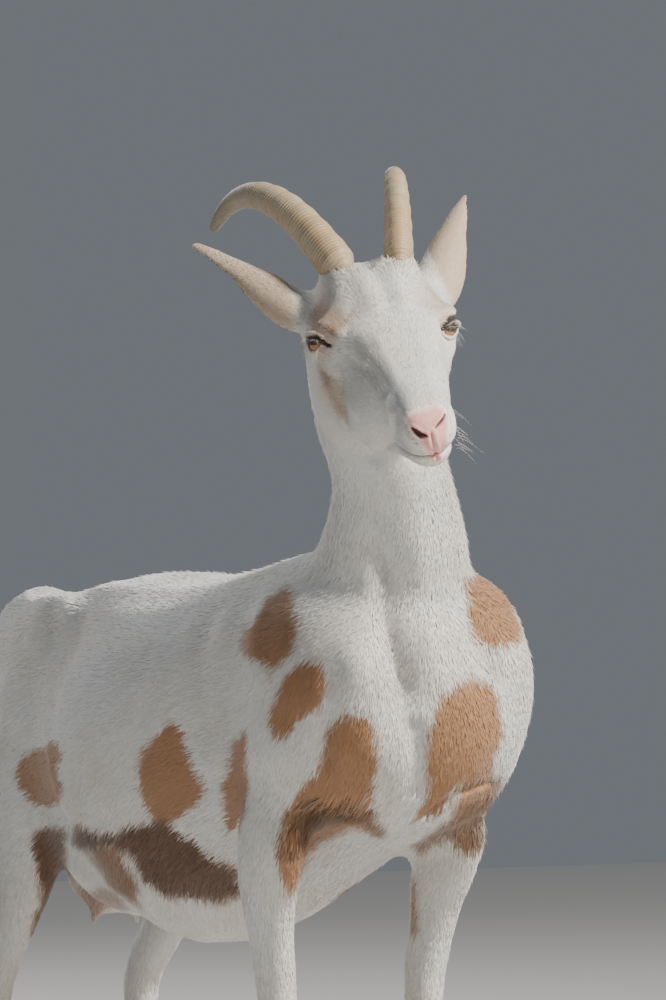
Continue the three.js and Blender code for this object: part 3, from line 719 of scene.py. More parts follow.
def carved(verts, tris):
    """The skin pushed along its normals by the finer forms of the animal: bones, folds and muscles, added up
    from soft bumps and creases, with the nostrils sunk into the nose."""
    normal = vertex_normals(verts, tris)
    head, place, here = headness(verts), drawn(verts), to_head(verts)
    flat, sides = untwist(here), mirrored(place)
    frames = {"head": here, "nose": flat, "both": mirrored(flat), "body": place, "sides": sides}
    face = head * (1 - ease(flat[:, 1], 75, 100)) * (1 - by_ears(flat, (66, 76), (44, 60)))
    hole, far, wide_one = slit_shape(flat)
    push = (raised(frames, FACE_FORMS) + mouth_and_nose(flat)) * face
    body = CHEST_STRENGTH * raised(frames, CHEST_FORMS) + raised(frames, BODY_FORMS)
    # the hips and rump stand up behind a dip in the loin
    across, back, up = sides.T
    rear, top = across * 0.866 + back * 0.5, ease(up, 572, 622)
    body = body + 16 * ease(rear, 262, 308) * (1 - ease(rear, 338, 376)) * top * ease(back, 396, 430)
    body = body - 5.5 * bell(rear - 255, 18) * top * ease(back, 330, 380)
    push = push + body * (1 - head)
    verts = verts + normal * (push / 1000)[:, None]
    # the nostrils' floors, and the rim above each
    into = HEAD_TURN @ np.array([0.0, 0.9, 0.12])
    deep = np.where(wide_one, 0.0058, 0.0026) * hole * face
    above = flat[:, 2] - np.where(wide_one, -7.5, -2.0)
    rim = bell(far - 1.8, 1.5) * ease(flat[:, 1], -112, -124) * ease(above, -3, 3)
    return verts + into * deep[:, None] + normal * (rim * 0.0008 * (1 - hole) * face)[:, None]


def thinned(verts, tris, most):
    """Fewer triangles by collapsing edges, the head and ears kept fine."""
    rough = make_object("rough", verts * 1000, tris)
    group = rough.vertex_groups.new(name="fine")
    fine = 0.1 * headness(verts) + 0.9 * (near_eye(to_head(verts)) < 24)
    fine = np.maximum(fine, np.linalg.norm(untwist(to_head(verts)) - NOSE_AT, axis=1) < 34)
    for level in np.unique(np.round(fine, 1)):
        group.add(np.nonzero(np.abs(fine - level) < 0.051)[0].tolist(), float(level), "REPLACE")
    collapse = rough.modifiers.new("collapse", "DECIMATE")
    collapse.ratio = min(1.0, most / len(tris))
    collapse.vertex_group = "fine"
    collapse.invert_vertex_group = True
    collapse.vertex_group_factor = 0.05
    done = finished(rough)
    return points_of(done) / 1000, triangles_of(done)


def made_skin():
    """The finished skin: points and triangles."""
    verts, quads = largest_piece(*remeshed(filled_flesh(), VOXEL))
    verts, web = softened(verts, quads)
    verts = filleted(verts, quads, web, FILLING)
    tris = to_triangles(quads)
    verts = verts - vertex_normals(verts, tris) * coat_depth(verts)[:, None]
    verts, tris = finer_face(verts, tris)
    web = Web(len(verts), tris)
    flat = untwist(to_head(verts))
    close = np.maximum(ease(-near_eye(to_head(verts)), -34, -26), ease(-flat[:, 1], 76, 86)) * headness(verts)
    verts = web.blur(verts, 6, 0.5 * close)
    verts = carved(verts, tris)
    verts = eyes_opened(verts)
    verts, tris = thinned(verts, tris, MOST_TRIANGLES)
    verts[:, 2] = np.maximum(verts[:, 2], 0.0005)
    return verts, tris


skin_verts, skin_tris = made_skin()
skin_normals = vertex_normals(skin_verts, skin_tris)

# ---- Markings ----


def stray(u, v, sizes):
    """How far a patch's edge strays at each point of a plane, in mm: three waves of those sizes."""
    waves = (np.sin(u / 8 + v / 15), np.sin(v / 6 - u / 11 + 1), np.sin((u + v) / 3.7))
    return sizes[0] * waves[0] + sizes[1] * waves[1] + sizes[2] * waves[2]


def strip(u, v, stops, widths, soft=9.0):
    """A soft-edged patch round a broken line in a plane: 1 where the line is nearer than the width there, in
    mm, 0 beyond it. The edge strays by a few mm."""
    far, where = near_line(np.stack([u, v], 1), stops)
    half = np.interp(where, np.linspace(0, 1, len(widths)), widths)
    return 1 - ease(far - half + stray(u, v, (2.2, 1.8, 1.2)), -soft / 2, soft / 2)


def patch(u, v, outline, soft=7.0):
    """A soft-edged patch in a plane, inside a closed outline in mm: a smooth step over the distance to the
    outline, which counts as positive inside, where a line to the right crosses it an odd number of times."""
    corners = np.asarray(outline, float)
    low, high = corners.min(0) - 14, corners.max(0) + 14
    near = (u > low[0]) & (u < high[0]) & (v > low[1]) & (v < high[1])
    x, y = u[near], v[near]
    far = near_line(np.stack([x, y], 1), np.concatenate([corners, corners[:1]]))[0]
    odd = np.zeros(len(x), bool)
    for (x0, y0), (x1, y1) in zip(corners, np.roll(corners, -1, axis=0)):
        odd ^= ((y0 > y) != (y1 > y)) & (x < (x1 - x0) * (y - y0) / (y1 - y0 + 1e-9) + x0)
    out = np.zeros(len(u))
    out[near] = ease(np.where(odd, far, -far) + stray(x, y, (1.5, 1.3, 0.9)), -soft / 2, soft / 2)
    return out


# Outlines of the patches, each point as (x cos 30 - y sin 30, z) in mm: as they lie seen level from 30
# degrees to the right of straight ahead.
ASIDE_COS, ASIDE_SIN = math.cos(math.radians(-VIEW_ANGLE)), math.sin(math.radians(-VIEW_ANGLE))
RIGHT_PATCHES = {
    "haunch": [(-320, 472), (-315, 488), (-303, 492), (-291, 496), (-284, 504), (-276, 501), (-271, 492),
               (-275, 477),
               (-273, 462), (-277, 448), (-287, 438), (-300, 440), (-310, 445), (-318, 457)],
    "flank": [(-165, 527), (-178, 517), (-189, 504), (-196, 487), (-195, 469), (-191, 453), (-188, 441),
              (-176, 435),
              (-157, 442), (-145, 449), (-138, 462), (-138, 473), (-145, 484), (-150, 498), (-154, 511),
              (-159, 522)],
    "elbow": [(-97, 528), (-104, 514), (-111, 500), (-117, 483), (-119, 467), (-117, 448), (-112, 429),
              (-107, 433),
              (-98, 447), (-94, 460), (-98, 474), (-99, 489), (-98, 508)],
    "blade": [(-58, 653), (-74, 637), (-86, 624), (-97, 617), (-102, 604), (-95, 592), (-86, 586), (-77, 581),
              (-75, 572), (-69, 579), (-61, 588), (-54, 597), (-49, 620), (-49, 640)],
    "shoulder": [(-26, 585), (-36, 589), (-50, 583), (-61, 576), (-67, 565), (-73, 551), (-76, 538),
                 (-71, 525),
                 (-62, 520), (-55, 530), (-46, 539), (-37, 548), (-29, 559), (-24, 571)],
}
FRONT_PATCHES = (  # outline, how far back and how far to the left they reach
    ([(-12, 543), (1, 547), (12, 541), (19, 524), (22, 499), (17, 479), (12, 468), (18, 449), (27, 428),
      (15, 431),
      (-5, 433), (-23, 423), (-40, 408), (-50, 394), (-55, 383), (-60, 371), (-66, 384), (-71, 400),
      (-70, 419),
      (-65, 440), (-59, 460), (-47, 476), (-36, 491), (-29, 510), (-25, 530)], 60, 20),
    ([(74, 560), (85, 571), (99, 575), (112, 567), (120, 556), (125, 538), (126, 517), (123, 495), (122, 482),
      (126, 468), (109, 471), (92, 478), (86, 471), (80, 461), (73, 454), (64, 449), (52, 444), (58, 460),
      (65, 474),
      (63, 489), (58, 510), (62, 530), (67, 548)], -64, 200),
    ([(90, 480), (108, 474), (128, 468), (122, 452), (114, 438), (109, 424), (99, 421), (89, 430), (86, 446),
      (88, 462)],
     16, 200),
    ([(94, 662), (112, 664), (125, 650), (134, 637), (143, 617), (136, 603), (117, 600), (101, 605),
      (95, 620),
      (94, 637)], -50, 200),
)
# brown hair in the crease between chest and right foreleg, darkened further with painted shade of the crease
CHEST_SWIRL = [(-54, 456), (-38, 464), (-19, 463), (1, 460), (14, 452), (25, 431), (12, 437), (-3, 445),
               (-18, 443),
               (-34, 434), (-45, 427), (-54, 431)]
# tan hair in the crease between chest and left foreleg, darkened with painted shade of the crease
ARMPIT_FOLD = [(54, 416), (66, 430), (82, 443), (96, 455), (106, 466), (113, 458), (105, 447), (92, 436),
               (76, 424),
               (60, 412)]
BELLY_PATCHES = (  # outline, how tan, how dark: brown hair with painted shade of the underside
    ([(-267, 406), (-258, 425), (-238, 425), (-220, 421), (-199, 432), (-176, 435), (-157, 424), (-139, 412),
      (-121, 401), (-106, 391), (-100, 370), (-111, 364), (-131, 360), (-154, 362), (-177, 367), (-193, 377),
      (-200, 394), (-211, 408), (-226, 411), (-246, 405)], 1.0, 0.78),
    ([(-250, 411), (-220, 411), (-211, 395), (-201, 371), (-201, 351), (-217, 357), (-232, 373), (-241, 390)],
     0.95, 0.42),
    ([(-300, 414), (-288, 421), (-272, 418), (-271, 400), (-277, 374), (-287, 345), (-300, 315), (-309, 300),
      (-305, 330), (-301, 360), (-302, 392)], 1.0, 0.7),
    ([(-269, 352), (-241, 366), (-224, 363), (-219, 346), (-232, 330), (-254, 326), (-268, 336)], 0.65, 0.25),
)
LEFT_PATCHES = (  # (back, up) of the line through each patch, and its half-widths along it
    ([(-34, 628), (-14, 590)], (16, 30)),
    ([(60, 580), (72, 545), (70, 515)], (3, 20, 14)),
    ([(150, 522), (176, 496), (190, 470)], (16, 30, 12)),
    ([(318, 590), (332, 560), (352, 536)], (10, 28, 20)),
    ([(404, 498), (446, 500)], (30, 24)),
)
BANDS = (  # tan hair along lines in space: stops, half-width, how tan, how dark; on the hind legs the dark is partly painted shade
    ([(-88, -62, 452), (-96, -50, 430), (-94, -44, 408)], 8, 0.9, 0.6),
    ([(60, -122, 474), (78, -104, 470), (92, -66, 448), (91, -46, 418)], 16, 1.0, 0.4),
    ([(28, -132, 480), (46, -124, 470), (56, -120, 474)], 5, 0.5, 0.5),
    ([(66, 18, 392), (66, 14, 330)], 8, 0.7, 0.2),
    # painted shade of the gap between each hind leg and the udder, over tan and brown hair
    ([(-86, 400, 418), (-76, 412, 385), (-72, 436, 345)], 11, 0.9, 0.75),
    ([(86, 400, 408), (78, 414, 378), (74, 438, 340)], 10, 0.8, 0.5),
)


def markings(points):
    """How tan, how dark, how creamy, how pink and how bare the animal is at each point, each 0 to 1. The dark
    is brown hair, and in places painted shade: the underside, creases at the legs' roots and under the ears.
    """
    place, here = drawn(points), to_head(points)
    flat = untwist(here)
    x, y, z = place.T
    head = headness(points)
    facing = x * ASIDE_COS - y * ASIDE_SIN  # across the chest, half from its right
    tan, dark = np.zeros(len(points)), np.zeros(len(points))
    for outline in RIGHT_PATCHES.values():
        tan = np.maximum(tan, patch(facing, z, outline) * ease(-x, 20, 36))
    for stops, widths in LEFT_PATCHES:
        tan = np.maximum(tan, strip(y, z, stops, widths) * ease(x, 30, 50))
    for outline, back, left in FRONT_PATCHES:
        tan = np.maximum(tan, patch(facing, z, outline, 9) * ease(back - y, 0, 14) * ease(left - x, 0, 14))
    # painted shade of the creases at the forelegs' roots, over brown and tan hair
    swirl = patch(facing, z, CHEST_SWIRL, 16) * ease(60 - y, 0, 14) * ease(20 - x, 0, 14)
    dark = np.maximum(dark, 0.75 * swirl)
    fold = patch(facing, z, ARMPIT_FOLD, 12) * ease(20 - y, 0, 14) * ease(x, 20, 36)
    tan, dark = np.maximum(tan, 0.9 * fold), np.maximum(dark, 0.55 * fold)
    under = -np.abs(x) * ASIDE_COS - y * ASIDE_SIN
    # the belly's dark is brown hair with painted shade of the underside
    for outline, amount, brown_and_shade in BELLY_PATCHES:
        belly = patch(under, z, outline, 12) * ease(y, 60, 84) * ease(np.abs(x), 4, 20)
        tan, dark = np.maximum(tan, belly * amount), np.maximum(dark, belly * brown_and_shade)
    for stops, width, amount, brown_and_shade in BANDS:
        line = crease(place, stops, width)
        tan, dark = np.maximum(tan, np.clip(1.5 * line, 0, 1) * amount), np.maximum(dark, line * brown_and_shade)
    tan, dark = tan * (1 - head), dark * (1 - head)
    both = mirrored(flat)
    more = np.where(flat[:, 0] < 0, 1.0, 0.45) * head
    face = 0.98 * crease(both, [(42, -20, 18), (52, -4, 26), (60, 20, 20), (58, 46, 12)], 14, 0.2)
    down = crease(both, [(62, -2, -15), (58, -4, -28), (53, -16, -37), (48.5, -30, -46), (46, -32, -60)], 15,
                  0.25)
    face = np.maximum(np.maximum(0.8 * face, 0.68 * down), 0.5 * bell(near_eye(here), 17, 4))
    dark = np.maximum(dark, more * 0.34 * crease(both, [(62, 2, -14), (58, -4, -28), (54, -14, -36)], 7, 0.2))
    dark = np.maximum(dark, more * 0.28 * blob(both, [60, 40, 6], [9, 14, 8]))
    dark = np.maximum(dark, head * 0.7 * blob(both, [64, 18, -8], [5, 9, 5]))
    ear = by_ears(flat, (60, 72)) * head
    base = blob(both, [57, 54, -32], [12, 14, 12]) * head
    tan = np.maximum(tan, face * more)
    tan = np.maximum(tan, np.maximum(0.16 * ear, 0.6 * base))
    brow = crease(both, [(42, -20, 18), (50, -2, 26), (58, 22, 22), (56, 48, 14)], 24, 0.2)
    cheek = crease(both, [(62, -2, -12), (56, -8, -32), (48, -30, -48), (46, -36, -66)], 20, 0.25)
    cream = np.maximum(np.maximum(0.95 * ear, 0.45 * head * blob(both, [16, 66, 40], [26, 30, 26])),
                       (0.5 + 0.5 * more) * head * np.maximum(0.85 * brow, 0.6 * cheek))
    # brown hair under each ear's root, darkened further with painted shade
    dark = np.maximum(dark, 0.6 * base)
    rightmost, leftmost = (np.interp(flat[:, 2], PAD["up"], PAD[side]) for side in ("right", "left"))
    inside = np.minimum(flat[:, 0] - rightmost, leftmost - flat[:, 0])
    pad = ease(inside, -3.5, 3.0) * ease(-flat[:, 1], 117, 125) * ease(8.5 - flat[:, 2], -1.5, 3)
    pad = pad * ease(flat[:, 2], -50, -44) * head
    udder = blob(place, [0, 476, 362], [52, 60, 42]) * (1 - head)
    pink = np.maximum(np.maximum(pad, 0.04 * ear), 0.22 * udder)
    return {"tan": tan, "dark": dark, "cream": cream, "pink": pink, "bare": pad}


def lid_rim_and_shade(points):
    """How dark each point is about the eyes, 0 to 1: the dark skin of each lid's edge, with painted shade
    behind the lids, in the groove to the inner corner and far up the upper lid under its fold.
    """
    rim = np.zeros(len(points))
    here = to_head(points)
    for side in SIDES.values():
        out, high, far, *_ = lid_place(here, side)
        top, low, s = lid_edges(out, side)
        over, under = high - top, low - high
        gap = np.maximum(over / 6.5, under)
        gap = np.where(np.abs(s) >= 1, np.hypot(np.abs(out - LID_MID) - LID_HALF, gap), gap)
        line = near_line(here, np.array(CORNER) * [side, 1, 1])[0]
        band = near_line(here, LID_SHADE_BAND[side])[0]
        near = (far < 28) & (here[:, 0] * side > 20)
        # painted shade in the groove to the inner corner and along the upper lid under its fold
        lines = np.maximum(bell(line, 2.7, 4), 0.95 * bell(band, 3.8 if side > 0 else 3.1, 4))
        rim = np.maximum(rim, np.where(near, np.maximum(1 - ease(gap, 1.0, 4.2), lines), 0))
    return rim


def nostril_depth(points):
    """1 inside a nostril, 0 outside."""
    return slit_shape(untwist(to_head(points)))[0] * headness(points)


def mouth_depth(points):
    """1 in the cut between the lips, 0 away from it."""
    flat = untwist(to_head(points))
    groove = bell(near_line(flat[:, [0, 2]], PHILTRUM)[0], 0.7) * ease(flat[:, 1], -112, -124)
    cut = bell(flat[:, 2] - np.interp(flat[:, 1], *LIPS), 1.0) * (1 - ease(flat[:, 1], -116, -96))
    return np.maximum(0.8 * cut, 0.3 * groove) * headness(points)


def give(mesh, values):
    """Puts named numbers on a mesh's points, for its material to read."""
    for name, numbers in values.items():
        mesh.attributes.new(name, "FLOAT", "POINT").data.foreach_set("value", np.asarray(numbers, np.float32))


# ---- Materials ----


def operator(operation, swapped=False):
    """A method that adds a Math node of that operation, with its two inputs swapped where asked."""

    def method(self, other):
        inputs = (other, self) if swapped else (self, other)
        return self.finish.node("ShaderNodeMath", {"operation": operation}, dict(enumerate(inputs)))

    return method


class Value:
    """A node's output, with arithmetic that adds Math nodes."""

    __add__ = __radd__ = operator("ADD")
    __sub__ = operator("SUBTRACT")
    __rsub__ = operator("SUBTRACT", swapped=True)
    __mul__ = __rmul__ = operator("MULTIPLY")
    __truediv__ = operator("DIVIDE")
    __pow__ = operator("POWER")

    def __init__(self, finish, socket):
        self.finish, self.socket = finish, socket

    def clipped(self):
        """The value kept between 0 and 1."""
        return self.finish.node("ShaderNodeClamp", {}, {0: self})

    def step(self, low, high):
        """A smooth step from 0 at low to 1 at high."""
        return self.finish.node("ShaderNodeMapRange", {"interpolation_type": "SMOOTHSTEP"},
                                {"Value": self, "From Min": low, "From Max": high})


class Finish:
    """A material being made: one Principled shader, and nodes that feed it."""

    def __init__(self, name, **constants):
        self.material = bpy.data.materials.new(name)
        self.material.use_nodes = True
        self.tree = self.material.node_tree
        self.shader = self.tree.nodes["Principled BSDF"]
        for socket, value in constants.items():
            self.shader.inputs[socket.replace("_", " ")].default_value = value

    def node(self, kind, settings, inputs, output=0):
        """A node of that kind, with its settings and its sockets' values or links. Gives one output."""
        made = self.tree.nodes.new(kind)
        for name, value in settings.items():
            setattr(made, name, value)
        for name, value in inputs.items():
            if isinstance(value, Value):
                self.tree.links.new(value.socket, made.inputs[name])
            else:
                made.inputs[name].default_value = value
        return Value(self, made.outputs[output])

    def attribute(self, name):
        """A number kept on the mesh's points."""
        return self.node("ShaderNodeAttribute", {"attribute_name": name}, {}, "Fac")

    def uv(self, name):
        """A place on one of the mesh's own maps."""
        return self.node("ShaderNodeUVMap", {"uv_map": name}, {})

    def place(self):
        """A point's place in the object, which is its place in the frame."""
        return self.node("ShaderNodeTexCoord", {}, {}, "Object")

    def split(self, vector):
        """A vector's three parts."""
        parts = self.node("ShaderNodeSeparateXYZ", {}, {0: vector}).socket.node.outputs
        return [Value(self, part) for part in parts]

    def joined(self, x, y, z=0.0):
        """A vector from its three parts."""
        return self.node("ShaderNodeCombineXYZ", {}, {0: x, 1: y, 2: z})

    def noise(self, vector, scale, detail=3.0, rough=0.55):
        """Cloudy noise, about 0 to 1."""
        inputs = {"Vector": vector, "Scale": scale, "Detail": detail, "Roughness": rough}
        return self.node("ShaderNodeTexNoise", {}, inputs, "Fac")

    def blend(self, amount, first, second):
        """Colours mixed, amount being the second's share."""
        first = first if isinstance(first, Value) else (*first, 1)
        second = second if isinstance(second, Value) else (*second, 1)
        return self.node("ShaderNodeMix", {"data_type": "RGBA"}, {0: amount, 6: first, 7: second}, 2)

    def dimmed(self, colour, amount):
        """A colour times a value."""
        return self.node("ShaderNodeMix", {"data_type": "RGBA", "blend_type": "MULTIPLY"},
                         {0: 1.0, 6: colour, 7: self.joined(amount, amount, amount)}, 2)

    def feed(self, **inputs):
        """Links values to the shader's sockets of those names."""
        for name, value in inputs.items():
            self.tree.links.new(value.socket, self.shader.inputs[name.replace("_", " ")])

    def bump(self, height, distance, strength=1.0):
        """Fine relief of that height, in metres at 1."""
        inputs = {"Height": height, "Distance": distance, "Strength": strength}
        self.feed(Normal=self.node("ShaderNodeBump", {}, inputs))


WHITE, CREAM, BUFF = (0.80, 0.79, 0.755), (0.73, 0.665, 0.545), (0.60, 0.465, 0.325)
TAN, TAN_DEEP = (0.450, 0.246, 0.128), (0.315, 0.155, 0.075)
BROWN, PINK, PINK_DEEP = (0.060, 0.034, 0.022), (0.80, 0.43, 0.38), (0.62, 0.27, 0.24)


def coat_colour(finish, grain):
    """White hair with cream in it, turning tan, brown and pink where the markings say, the brown carrying the
    markings' painted shade too. grain, 0 to 1, breaks up the patches' edges and varies their depth."""
    place = finish.place()
    broad = finish.noise(place, 14, 3)
    tan, dark, pink = (finish.attribute(name) for name in ("tan", "dark", "pink"))
    white = finish.blend(((broad - 0.38) * 1.9).clipped(), WHITE, CREAM)
    white = finish.blend((finish.attribute("cream") * (0.5 + grain * 0.8)).clipped(), white, BUFF)
    warm = finish.blend((broad * 0.8 + grain * 0.5 - 0.3).clipped(), TAN, TAN_DEEP)
    edge = (tan + (grain - 0.5) * 1.1 * (tan * (1 - tan) * 4)).clipped()
    colour = finish.blend(edge, white, warm)
    # brown hair, and painted shade where the markings put it
    colour = finish.blend((dark * (0.6 + grain * 0.8)).clipped(), colour, BROWN)
    return finish.blend(pink, colour, finish.blend((grain - 0.15).clipped(), PINK, PINK_DEEP)), place


def skin_finish():
    """Short hair seen as fine grain, bare pink skin at the nose, dark lid edges with painted shade round
    them, and painted shade in the nostrils and between the lips.
    """
    finish = Finish("skin", Sheen_Weight=0.2, Sheen_Roughness=0.5, Specular_IOR_Level=0.3)
    grain = finish.noise(finish.place(), 420, 3, 0.6)
    colour, place = coat_colour(finish, grain)
    bare, rim, hollow_shade = (finish.attribute(name) for name in ("bare", "rim", "hollow_shade"))
    # the lids' dark skin, with painted shade behind them, under the upper lids' folds and in the corner
    # grooves
    colour = finish.blend((rim * 1.1).clipped(), colour, (0.024, 0.013, 0.010))
    # painted shade inside the nostrils, in the cut between the lips and along the groove under the nose
    colour = finish.blend((hollow_shade * 0.94).clipped(), colour, (0.045, 0.012, 0.012))
    finish.feed(Base_Color=colour, Roughness=0.82 - bare * 0.40 - rim * 0.3)
    pores = finish.noise(place, 750, 2)
    finish.bump(grain * (1 - bare) + pores * 0.7 * bare, 0.0007, 0.8)
    return finish.material


def coat_finish():
    """Tufts of hair: strands along each tuft, each tuft a little lighter or darker than the next, with
    painted shade towards each root.
    """
    finish = Finish("coat", Sheen_Weight=0.25, Sheen_Roughness=0.45, Specular_IOR_Level=0.25)
    across, along, _ = finish.split(finish.uv("strand"))
    shade = finish.attribute("shade")
    strands = finish.noise(finish.joined(across * 2.0 + shade * 37.0, along * 0.5), 4.0, 2)
    colour, _ = coat_colour(finish, (strands * 0.4 + shade * 0.6).clipped())
    # painted shade: each tuft darker towards its root, times random tone per tuft and along its strands
    root_shade_and_tone = (0.86 + along * 0.14) * (0.84 + shade * 0.19) * (0.80 + strands * 0.31)
    finish.feed(Base_Color=finish.dimmed(colour, root_shade_and_tone), Roughness=0.66 + strands * 0.12)
    return finish.material


def horn_finish():
    """Beige horn, greyer towards the tip, with orange-brown stain near the root, dark lines between its
    growth rings and fine streaks along it."""
    finish = Finish("horn", Specular_IOR_Level=0.45, Sheen_Weight=0.05)
    along, east, north = (finish.attribute(name) for name in ("along", "east", "north"))
    streak = finish.noise(finish.joined(east * 9.0, north * 9.0, along * 1.2), 1.5, 3)
    rings = finish.noise(finish.joined(east * 0.5, north * 0.5, along * 75.0), 1.0, 2)
    cloud = finish.noise(finish.joined(east * 1.2, north * 1.2, along * 5.0), 1.3, 3)
    colour = finish.blend(along.step(0.35, 1.0), (0.38, 0.295, 0.175), (0.20, 0.165, 0.12))
    colour = finish.blend((cloud.step(0.48, 0.68) * (1 - along.step(0.2, 0.65)) * 0.4).clipped(), colour,
                          (0.36, 0.20, 0.10))
    colour = finish.blend((cloud.step(0.52, 0.38) * 0.45).clipped(), colour, (0.34, 0.30, 0.25))
    colour = finish.blend((rings.step(0.46, 0.34) * 0.35).clipped(), colour, (0.20, 0.14, 0.085))
    finish.feed(Base_Color=finish.dimmed(colour, 0.78 + streak * 0.42), Roughness=0.42 + streak * 0.2)
    finish.bump(streak * 0.5 + rings * 0.6, 0.0006, 0.6)
    return finish.material


def eye_finish():
    """A golden iris with fibres that run in to a long level pupil, dark round its rim, all under a wet clear
    layer."""
    finish = Finish("eye", Coat_Weight=1.0, Coat_Roughness=0.03, Specular_IOR_Level=0.4, Roughness=0.35)
    level, up = finish.attribute("level"), finish.attribute("up")
    far = (level * level + up * up * 1.1 + 0.01) ** 0.5
    fibres = finish.noise(finish.joined(level / far * 7.0, up / far * 7.0, far * 0.35), 1.4, 3)
    golden = finish.blend((fibres * 1.4 - 0.3).clipped(), (0.36, 0.155, 0.034), (0.16, 0.064, 0.018))
    iris = finish.blend(far.step(5.2, 9.0), golden, (0.10, 0.040, 0.012))
    outer = finish.blend(far.step(9.4, 12.5), (0.020, 0.012, 0.010), (0.20, 0.15, 0.12))
    ball_colour = finish.blend(far.step(8.4, 9.4), iris, outer)
    pupil = (level / 5.3) ** 4.0 + (up / 1.55) ** 4.0
    finish.feed(Base_Color=finish.blend(pupil.step(0.7, 1.5), (0.004, 0.004, 0.005), ball_colour))
    return finish.material


def hoof_finish():
    """Dark worn hoof horn with level growth lines."""
    finish = Finish("hoof", Specular_IOR_Level=0.4)
    across, ahead, up = finish.split(finish.place())
    lines = finish.noise(finish.joined(across * 8.0, ahead * 8.0, up * 420.0), 1.0, 2)
    worn = finish.noise(finish.place(), 60, 3)
    colour = finish.blend((lines * 0.7 + worn * 0.6 - 0.2).clipped(), (0.055, 0.042, 0.034),
                          (0.17, 0.13, 0.10))
    finish.feed(Base_Color=colour, Roughness=0.5 + worn * 0.25)
    finish.bump(lines, 0.0006, 0.7)
    return finish.material


def plain_finish(name, colour, roughness):
    """One colour all over."""
    return Finish(name, Base_Color=(*colour, 1), Roughness=roughness, Specular_IOR_Level=0.3).material


def piece(name, verts, faces, finish, slot, *replaced):
    """A finished object that stands for CAD nodes."""
    obj = make_object(name, verts, faces)
    obj.data.materials.append(finish)
    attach(obj, "root")
    if replaced:
        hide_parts(*replaced)
    return obj


skin = piece("skin", skin_verts, skin_tris, skin_finish(), "coat", *FLESH, "ear_left", "ear_right")
give(skin.data, markings(skin_verts))
# painted shade: about the eyes, over the lids' dark skin, and inside the nostrils and the mouth
give(skin.data, {"rim": lid_rim_and_shade(skin_verts),
                 "hollow_shade": np.maximum(nostril_depth(skin_verts), mouth_depth(skin_verts))})

# ---- Coat ----

def lie(points, normals):
    """Which way the hair lies, along the skin: back from the nose over the head and out along the ears, down
    the neck and chest, back and a little down over the trunk, down the legs and out along the tail."""
    place, here = drawn(points), to_head(points)
    head, leg = headness(points)[:, None], legness(points)[:, None]
    x, y, z = place.T
    trunk = np.stack([0.12 * np.sign(x), 0 * x + 1.0, -0.32 - 0.25 * ease(z, 560, 430)], 1)
    fore = (1 - ease(y, -90, 60))[:, None]
    down = np.stack([0.25 * np.sign(x) * ease(np.abs(x), 10, 50), 0.25 + 0 * x, 0 * x - 1.0], 1)
    flow = trunk * (1 - fore) + down * fore
    neck = ease(z, 600, 680)[:, None] * (1 - ease(y, 60, 160))[:, None]
    flow = flow * (1 - neck) + np.array([0, 0.45, -1.0]) * neck
    flow = flow * (1 - leg) + np.array([0, 0.2, -1.0]) * leg
    tail = (ease(y, 590, 612) * ease(z, 470, 500))[:, None]
    flow = flow * (1 - tail) + np.array([0, 0.75, 0.1]) * tail
    cheek = ease(-here[:, 2], 10, 50)
    face = np.stack([0.012 * here[:, 0] * ease(here[:, 1], -60, 20), 0 * x + 1.0, -0.1 - 0.7 * cheek], 1)
    for side in SIDES.values():
        ear = (ease(side * here[:, 0], 58, 72) * ease(here[:, 1], 40, 60))[:, None]
        face = face * (1 - ear) + ear_frame(side)[1] * ear * 1.5
    flow = flow * (1 - head) + (unit(face) @ HEAD_TURN.T) * head
    swirl = np.stack([np.sin(z / 38 + x / 60), np.sin(x / 41 + z / 70 + 2), np.sin(y / 47 + z / 52 + 4)],
                     1) * 0.16
    flow = unit(flow) + swirl * (1 - 0.4 * head)
    return unit(flow - normals * (flow * normals).sum(1, keepdims=True))


def on_skin(points):
    """The nearest places on the skin, by a shrinkwrap."""
    cloud = bpy.data.meshes.new("cloud")
    cloud.vertices.add(len(points))
    cloud.vertices.foreach_set("co", np.asarray(points, np.float32).ravel())
    obj = linked("cloud", cloud)
    wrap = obj.modifiers.new("wrap", "SHRINKWRAP")
    wrap.target = skin
    done = points_of(obj.evaluated_get(bpy.context.evaluated_depsgraph_get()).data)
    bpy.data.objects.remove(obj)
    return done


